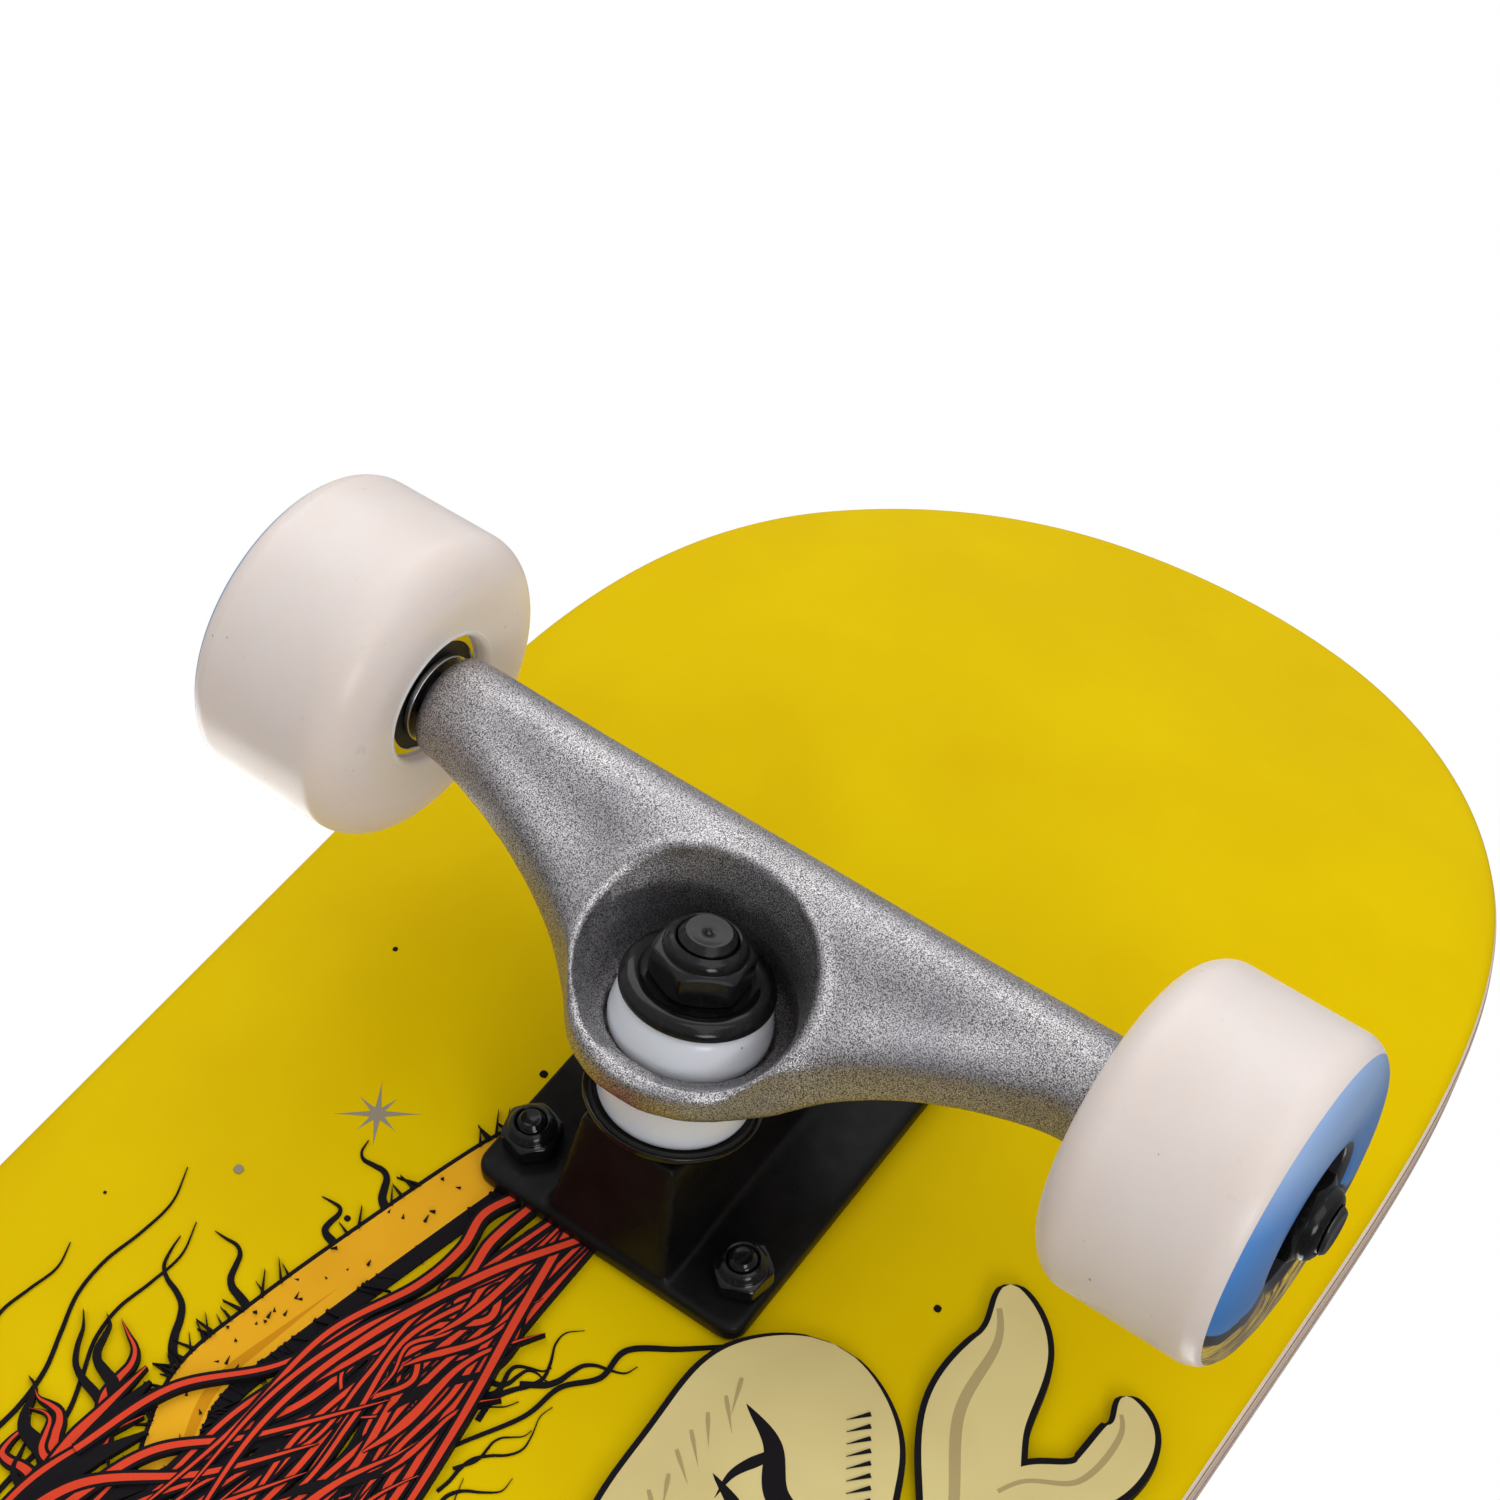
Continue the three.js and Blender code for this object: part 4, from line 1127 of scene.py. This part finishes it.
# Turned profiles, as (radius, height, fillet). The cups and bushings are on the kingpin's axis.
UPPER_CUP = [
    (4.8, 6.3, 0.2), (11.3, 6.25, 0.3), (12.05, 6.6, 0.5), (12.0, 7.7, 0.7),
    (10.9, 9.1, 1.0), (9.7, 9.25, 0.6), (8.75, 8.75, 0.4), (4.8, 8.75, 0.2),
]
LOWER_CUP = [
    (4.8, -18.3, 0.2), (12.4, -18.3, 0.8), (14.1, -17.1, 0.6), (14.2, -15.95, 0.25),
    (13.6, -15.75, 0.25), (12.75, -15.9, 0.2), (12.6, -16.7, 0.3), (4.8, -16.8, 0.2),
]
BUSHINGS = {
    "lower": [
        (4.8, -16.75, 0.2), (11.5, -16.75, 1.0), (12.15, -15.4, 1.6), (12.15, -5.2, 1.6),
        (11.5, -3.1, 1.0), (4.8, -3.1, 0.2),
    ],
    "upper": [
        (4.8, -1.7, 0.2), (12.4, -1.7, 0.8), (12.75, 0.6, 1.6), (12.0, 4.6, 1.6),
        (11.3, 5.95, 0.8), (4.8, 5.95, 0.2),
    ],
}
SPEED_WASHER = [(4.1, 0, 0.1), (7.6, 0, 0.25), (7.6, 1.0, 0.25), (4.1, 1.0, 0.1)]


def hex_radius(angle, half_flats, sharpness=26):
    """A hexagon's radius with its corners just broken."""
    folds = [max(math.cos(angle - k * math.pi / 3), 0) / half_flats for k in range(6)]
    return sum(c**sharpness for c in folds) ** (-1 / sharpness)


def lock_nut(name, flats, hex_height, collar, height, bore):
    """A nylon-insert nut standing on z = 0: chamfered hexagon, neck and rounded collar."""
    half = flats / 2
    crown = half * 0.97
    rows = []
    for angle in np.linspace(0, TAU, 120, endpoint=False):
        r = hex_radius(angle, half)
        over = max(r - crown, 0)
        low = over * 0.5
        high = hex_height - over * 0.62
        foot = [(bore, 0.25), (bore + 0.3, 0.0), (min(crown, r) - 0.1, 0.0), (r - 0.12, low)]
        flat = [(r, low + 0.15), (r, (low + high) / 2), (r, high - 0.18), (r - 0.15, high)]
        neck = [
            (crown - 0.15, hex_height - 0.02), (collar + 0.1, hex_height),
            (collar - 0.05, hex_height + 0.15), (collar - 0.05, hex_height + 0.5),
        ]
        dome = [(0.15, 1.3), (0.4, 0.75), (0.85, 0.3), (1.35, 0.05)]
        lip = [(bore + 0.4, height), (bore + 0.12, height - 0.2), (bore, height - 0.7)]
        ring = foot + flat + neck + [(collar - inset, height - drop) for inset, drop in dome] + lip
        rows.append([(rr * math.cos(angle), rr * math.sin(angle), z) for rr, z in ring])
    points, faces = grid(rows, wrap_rows=True)
    return piece(name, points, faces, [OXIDE], sharp=28)


def threaded(name, radius, pitch, low, high, material, below, point, dish, depth=None, dimple=False):
    """A shaft with a rolled thread between two heights. `below` lists its rings as (radius, height)."""
    depth = pitch * 0.42 if depth is None else depth
    around = 48
    steps = max(int((high - low) / pitch * 8), 8)
    rows = [circle(r, z, around) for r, z in below]
    for z in np.linspace(low, high, steps):
        ring = []
        for k in range(around):
            a = TAU * k / around
            turn = (z / pitch - k / around) % 1
            cut = depth * (abs(turn - 0.5) * 2) ** 1.3
            fade = min(1, (z - low) / pitch)
            r = radius - cut * fade
            if z > high - point:
                r = min(r, radius - (z - (high - point)) * 0.9)
            ring.append((r * math.cos(a), r * math.sin(a), z))
        rows.append(ring)
    end = radius - point * 0.9
    caps = [(end * 0.92, high), (end * 0.8, high - dish * 0.4), (end * 0.45, high - dish)]
    if dimple:
        caps += [(0.62, high - dish), (0.5, high - dish - 0.1), (0.3, high - dish - 0.32)]
    rows += [circle(r, z, around) for r, z in caps]
    points, faces = grid(rows)
    return piece(name, points, faces, [material], sharp=40)


def mounting_bolt():
    """A countersunk bolt pointing along +Z, its head's face on z = 0, with a cross recess."""
    shaft = threaded(
        "bolt", 2.35, 0.79, low=4.0, high=23.1, material=OXIDE, below=BOLT_HEAD, point=0.8, dish=0.2
    )
    mouth = [(-2.6, -0.42), (2.6, -0.42), (2.6, 0.42), (-2.6, 0.42)]
    bottom = [(-1.1, -0.3), (1.1, -0.3), (1.1, 0.3), (-1.1, 0.3)]
    points, faces = [], []
    for turn in (0, math.pi / 2):
        c, s = math.cos(turn), math.sin(turn)
        rows = [
            [(x * c - y * s, x * s + y * c, z) for x, y in ring]
            for ring, z in ((mouth, -0.5), (mouth, 0.0), (bottom, 1.9))
        ]
        add_to(points, faces, grid(rows))
    carve(shaft, piece("cross", points, faces, [OXIDE]), crossing=True)
    return shaft


bolt = mounting_bolt()
bolt_nut = lock_nut("bolt_nut", flats=8.9, hex_height=3.6, collar=4.0, height=5.5, bore=2.45)
axle_nut = lock_nut("axle_nut", flats=12.7, hex_height=4.8, collar=5.9, height=7.0, bore=4.05)
kingpin_nut = lock_nut("kingpin_nut", flats=14.3, hex_height=5.6, collar=6.5, height=7.8, bore=4.7)
kingpin = threaded(
    "kingpin", 4.6, 1.06, low=8.5, high=17.9, material=OXIDE, below=KINGPIN_HEAD + KINGPIN_SHANK,
    point=1.2, dish=0.15, depth=0.25, dimple=True,
)
upper_washer = lathe("upper_washer", filleted(UPPER_CUP), [OXIDE])
lower_washer = lathe("lower_washer", filleted(LOWER_CUP), [OXIDE])
speed_washer = lathe("speed_washer", filleted(SPEED_WASHER), [STEEL], 72)
axle_tip = threaded(
    "axle_tip", 3.95, 1.06, low=90.0, high=AXLE_END, material=AXLE_STEEL, below=AXLE_SHANK,
    point=0.6, dish=0.25, depth=0.3,
)

# ---------------------------------------------------------------- wheels and bearings

# Along the axle from the middle of the board, but the races from their own inner face.
BEARING_SEAT = 11.15
WHEEL_SHOULDER = [(26.65, 88.0), (26.45, 89.3), (25.5, 91.2), (23.5, 92.8)]
WHEEL_FACE = WHEEL_SHOULDER + [(20, 93.85), (16, 94.25), (12.9, 93.95)]
# The bore's wall is split at 88.5, so that the print's dark hub, painted shade, covers it above the outer
# bearing.
WHEEL_BORE = [
    (12.5, 93.75, 0.1), (BEARING_SEAT, 93.1, 0.5), (BEARING_SEAT, 88.5, 0.05),
    (BEARING_SEAT, 81.2, 0.1), (8.4, 81.2, 0.3), (8.4, 71.5, 0.3),
    (BEARING_SEAT, 71.5, 0.1), (BEARING_SEAT, 62.9, 0.6), (12.3, 62.15, 0.5),
]
OUTER_RACE = [
    (11.1, 0, 0.35), (11.1, 7, 0.35), (9.7, 7, 0.15), (9.5, 6.55, 0.1), (7.9, 6.45, 0.15),
    (6.5, 6.4, 0.15), (6.4, 5.8, 0.1), (9.4, 5.7, 0.1), (9.4, 1.3, 0.1), (6.4, 1.2, 0.1),
    (6.5, 0.6, 0.15), (7.9, 0.55, 0.15), (9.5, 0.45, 0.1), (9.7, 0, 0.15),
]
INNER_RACE = [(4.05, 0, 0.3), (6.1, 0, 0.25), (6.1, 7, 0.25), (4.05, 7, 0.3)]
SHIELD_RADIUS = 9.55


def wheel_profile():
    """A rounded inner edge, the tread, the outer face and the bore with its two bearing seats."""
    inner = []
    for a in np.arange(19) / 18 * math.pi / 2:
        inner.append((WHEEL_RADIUS - 9 * (1 - math.sin(a)), 69 - 7.1 * math.cos(a)))
    tread = [(WHEEL_RADIUS, z) for z in np.linspace(*TREAD_EDGES, 10)]
    return inner + tread + list(through(WHEEL_FACE, 36)) + filleted(WHEEL_BORE)


def wheel_slot(r0, z0, r1, z1):
    """Print on the outer face out to its rim, and as painted shade down the bore to the outer bearing."""
    return 1 if min(z0, z1) > PRINT_AND_SHADE_LOWEST and max(r0, r1) < PRINT_RIM else 0


def race_slot(r0, z0, r1, z1):
    """Steel outside, and the dark shield within."""
    return 0 if max(r0, r1) > SHIELD_RADIUS else 1


wheel = lathe("wheel", wheel_profile(), [WHEEL, PRINT], 160, wheel_slot, sharp=50)
outer_race = lathe("outer_race", filleted(OUTER_RACE), [RACE, SHIELD], 96, race_slot)
inner_race = lathe("inner_race", filleted(INNER_RACE), [RACE], 72)

# ---------------------------------------------------------------- both trucks put together


def fit_kingpin(end):
    pin = kingpin_to_row(end)
    face = pin @ lift(KINGPIN_NUT_FACE) @ spun(math.radians(38))
    spread(kingpin, f"{end}_kingpin_shaft", pin, "deck", [f"{end}_kingpin"])
    spread(kingpin_nut, f"{end}_kingpin_locknut", face, "deck", [f"{end}_kingpin_nut"])
    for which, washer in (("upper", upper_washer), ("lower", lower_washer)):
        spread(washer, f"{end}_{which}_cup_washer", pin, "deck", [f"{end}_{which}_washer"])


def fit_bushings(end):
    """Each bushing is squeezed between its washer, which stays with the deck, and the hanger."""
    pin = kingpin_to_row(end)
    for which, profile in BUSHINGS.items():
        bushing = lathe(f"{end}_{which}_urethane", filleted(profile, steps=6), [BUSHING], 96)
        bushing.matrix_world = pin
        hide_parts(f"{end}_{which}_bushing")
        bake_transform(bushing)


def fit_bolts(end):
    for number, (x, y) in enumerate(BOLT_SPOTS, 1):
        spot = bench_to_row(end) @ Matrix.Translation(Vector((x, y, 0)) * MM)
        twist = spun(0.4 * number)
        head = spot @ lift(-GRIP_TOP) @ twist
        face = spot @ lift(PLATE_THICKNESS + 0.3) @ twist
        spread(bolt, f"{end}_mount_bolt_{number}", head, "deck", [f"{end}_bolt_{number}"])
        spread(bolt_nut, f"{end}_mount_nut_{number}", face, "deck", [f"{end}_nut_{number}"])


def fit_wheel(end, side):
    corner = f"{end}_{side}"
    out = axle_to_row(end, side)
    turns = f"{corner}_wheel_assembly"
    hangs = f"{end}_hanger_assembly"
    upright = out @ spun(0 if side == "left" else math.pi)
    spread(wheel, f"{corner}_urethane_wheel", upright, turns, [f"{corner}_wheel"])
    for which, face in zip(("inner", "outer"), BEARING_FACES):
        place = out @ lift(face)
        covers = [f"{corner}_{which}_bearing"]
        spread(outer_race, f"{corner}_{which}_outer_race", place, turns, covers)
        spread(inner_race, f"{corner}_{which}_inner_race", place, hangs)
    for which, face, covers in (
        ("inboard", INBOARD_WASHER, []),
        ("outboard", OUTBOARD_WASHER, [f"{corner}_speed_washer"]),
    ):
        spread(speed_washer, f"{corner}_{which}_washer", out @ lift(face), hangs, covers)
    nut_place = out @ lift(AXLE_NUT_FACE)
    spread(axle_nut, f"{corner}_axle_locknut", nut_place, hangs, [f"{corner}_axle_nut"])
    covers = [f"{end}_axle"] if side == "left" else []
    spread(axle_tip, f"{corner}_axle_end", out, hangs, covers)


for end in ENDS:
    fit_kingpin(end)
    fit_bushings(end)
    fit_bolts(end)
    for side in SIDES:
        fit_wheel(end, side)
    cup = frame["nodes"][f"{end}_pivot_cup"].data
    cup.materials.clear()
    cup.materials.append(CUP)

TEMPLATES = [bolt, bolt_nut, axle_nut, kingpin_nut, kingpin, upper_washer, lower_washer, speed_washer]
TEMPLATES += [axle_tip, wheel, outer_race, inner_race]
for template in TEMPLATES:
    bpy.data.objects.remove(template)

# ---------------------------------------------------------------- studio


def floor():
    """A pale floor that only the camera sees, from above only, so that light reaches the underside."""
    corners = [(x * FLOOR_REACH, y * FLOOR_REACH, 0) for x, y in ((-1, -1), (1, -1), (1, 1), (-1, 1))]
    mesh = bpy.data.meshes.new("floor")
    mesh.from_pydata(corners, [], [(0, 1, 2, 3)])
    obj = linked("floor", mesh)
    obj.location.z = -FLOOR_DROP
    f = Finish("floor_paper", Roughness=0.9, Emission_Strength=0.6, Emission_Color=linear(238, 238, 238))
    f.colour(f.mix(f.noise(300, 2), linear(150, 150, 150), linear(144, 144, 144)))
    clear = f.node("ShaderNodeBsdfTransparent")
    back = f.node("ShaderNodeNewGeometry").outputs["Backfacing"]
    both = f.node("ShaderNodeMixShader", {0: back, 1: f.surface.outputs[0], 2: clear.outputs[0]})
    f.feed(f.tree.nodes["Material Output"].inputs["Surface"], both.outputs[0])
    mesh.materials.append(f.material)
    obj.visible_diffuse = False
    obj.visible_glossy = False
    obj.visible_transmission = False
    obj.visible_shadow = False


def world():
    """White behind the object, and for what lights it a room that is brighter below."""
    made = bpy.data.worlds.new("studio")
    made.use_nodes = True
    g = Graph(made.node_tree)
    where = g.node("ShaderNodeTexCoord").outputs["Generated"]
    facing = g.node("ShaderNodeVectorMath", {0: where, 1: ROOM_BRIGHT_SIDE}, operation="DOT_PRODUCT")
    limits = {"From Min": -0.35, "From Max": 0.9, "To Min": ROOM_DIM, "To Max": ROOM_BRIGHT}
    inputs = {"Value": facing.outputs["Value"], **limits}
    level = g.node("ShaderNodeMapRange", inputs, interpolation_type="SMOOTHSTEP")
    light = g.tree.nodes["Background"]
    g.feed(light.inputs["Color"], (0.96, 0.97, 1.0, 1))
    g.feed(light.inputs["Strength"], level.outputs["Result"])
    seen = g.node("ShaderNodeBackground", {"Color": (1, 1, 1, 1)})
    by_camera = g.node("ShaderNodeLightPath").outputs["Is Camera Ray"]
    mix = g.node("ShaderNodeMixShader", {0: by_camera, 1: light.outputs[0], 2: seen.outputs[0]})
    g.feed(g.tree.nodes["World Output"].inputs["Surface"], mix.outputs[0])
    bpy.context.scene.world = made


def softbox(name, direction, distance, size, power):
    """An area light that looks at the front truck."""
    light = bpy.data.lights.new(name, "AREA")
    light.shape = "RECTANGLE"
    light.size, light.size_y = size
    light.energy = power
    obj = linked(name, light)
    away = direction.normalized()
    obj.location = TRUCK_PLACE + away * distance
    obj.rotation_mode = "QUATERNION"
    obj.rotation_quaternion = away.to_track_quat("Z", "Y")


def camera():
    """Below the board, looking up past the front truck at the deck's printed side."""
    data = bpy.data.cameras.new("camera")
    data.lens = FOCAL_LENGTH
    data.sensor_width = SENSOR_WIDTH
    data.clip_start = 0.02
    data.clip_end = 20.0
    obj = linked("camera", data)
    spot = TRUCK_PLACE + CAMERA_FROM_TRUCK * MM
    columns = zip(CAMERA_RIGHT, CAMERA_UP, CAMERA_BACK, spot)
    obj.matrix_world = Matrix([*columns, (0, 0, 0, 1)])
    bpy.context.scene.camera = obj


floor()
world()
camera()

# Each light's name, direction from the front truck, distance and size in metres, and power in watts.
softbox("camera_side", 0.88 * CAMERA_BACK + 0.25 * CAMERA_UP + 0.35 * CAMERA_RIGHT, 1.4, (1.1, 1.1), 4)
softbox("low_right", 0.8 * CAMERA_BACK - 0.42 * CAMERA_UP + 0.3 * CAMERA_RIGHT, 1.3, (0.45, 0.45), 4.2)
softbox("far_side", 0.1 * CAMERA_BACK + 1.0 * CAMERA_UP - 0.1 * CAMERA_RIGHT, 1.3, (1.6, 1.0), 6.5)
softbox("above", Vector((-0.2, -0.3, 1)), 1.8, (2.0, 2.0), 32)
bpy.context.scene.view_settings.view_transform = "Standard"
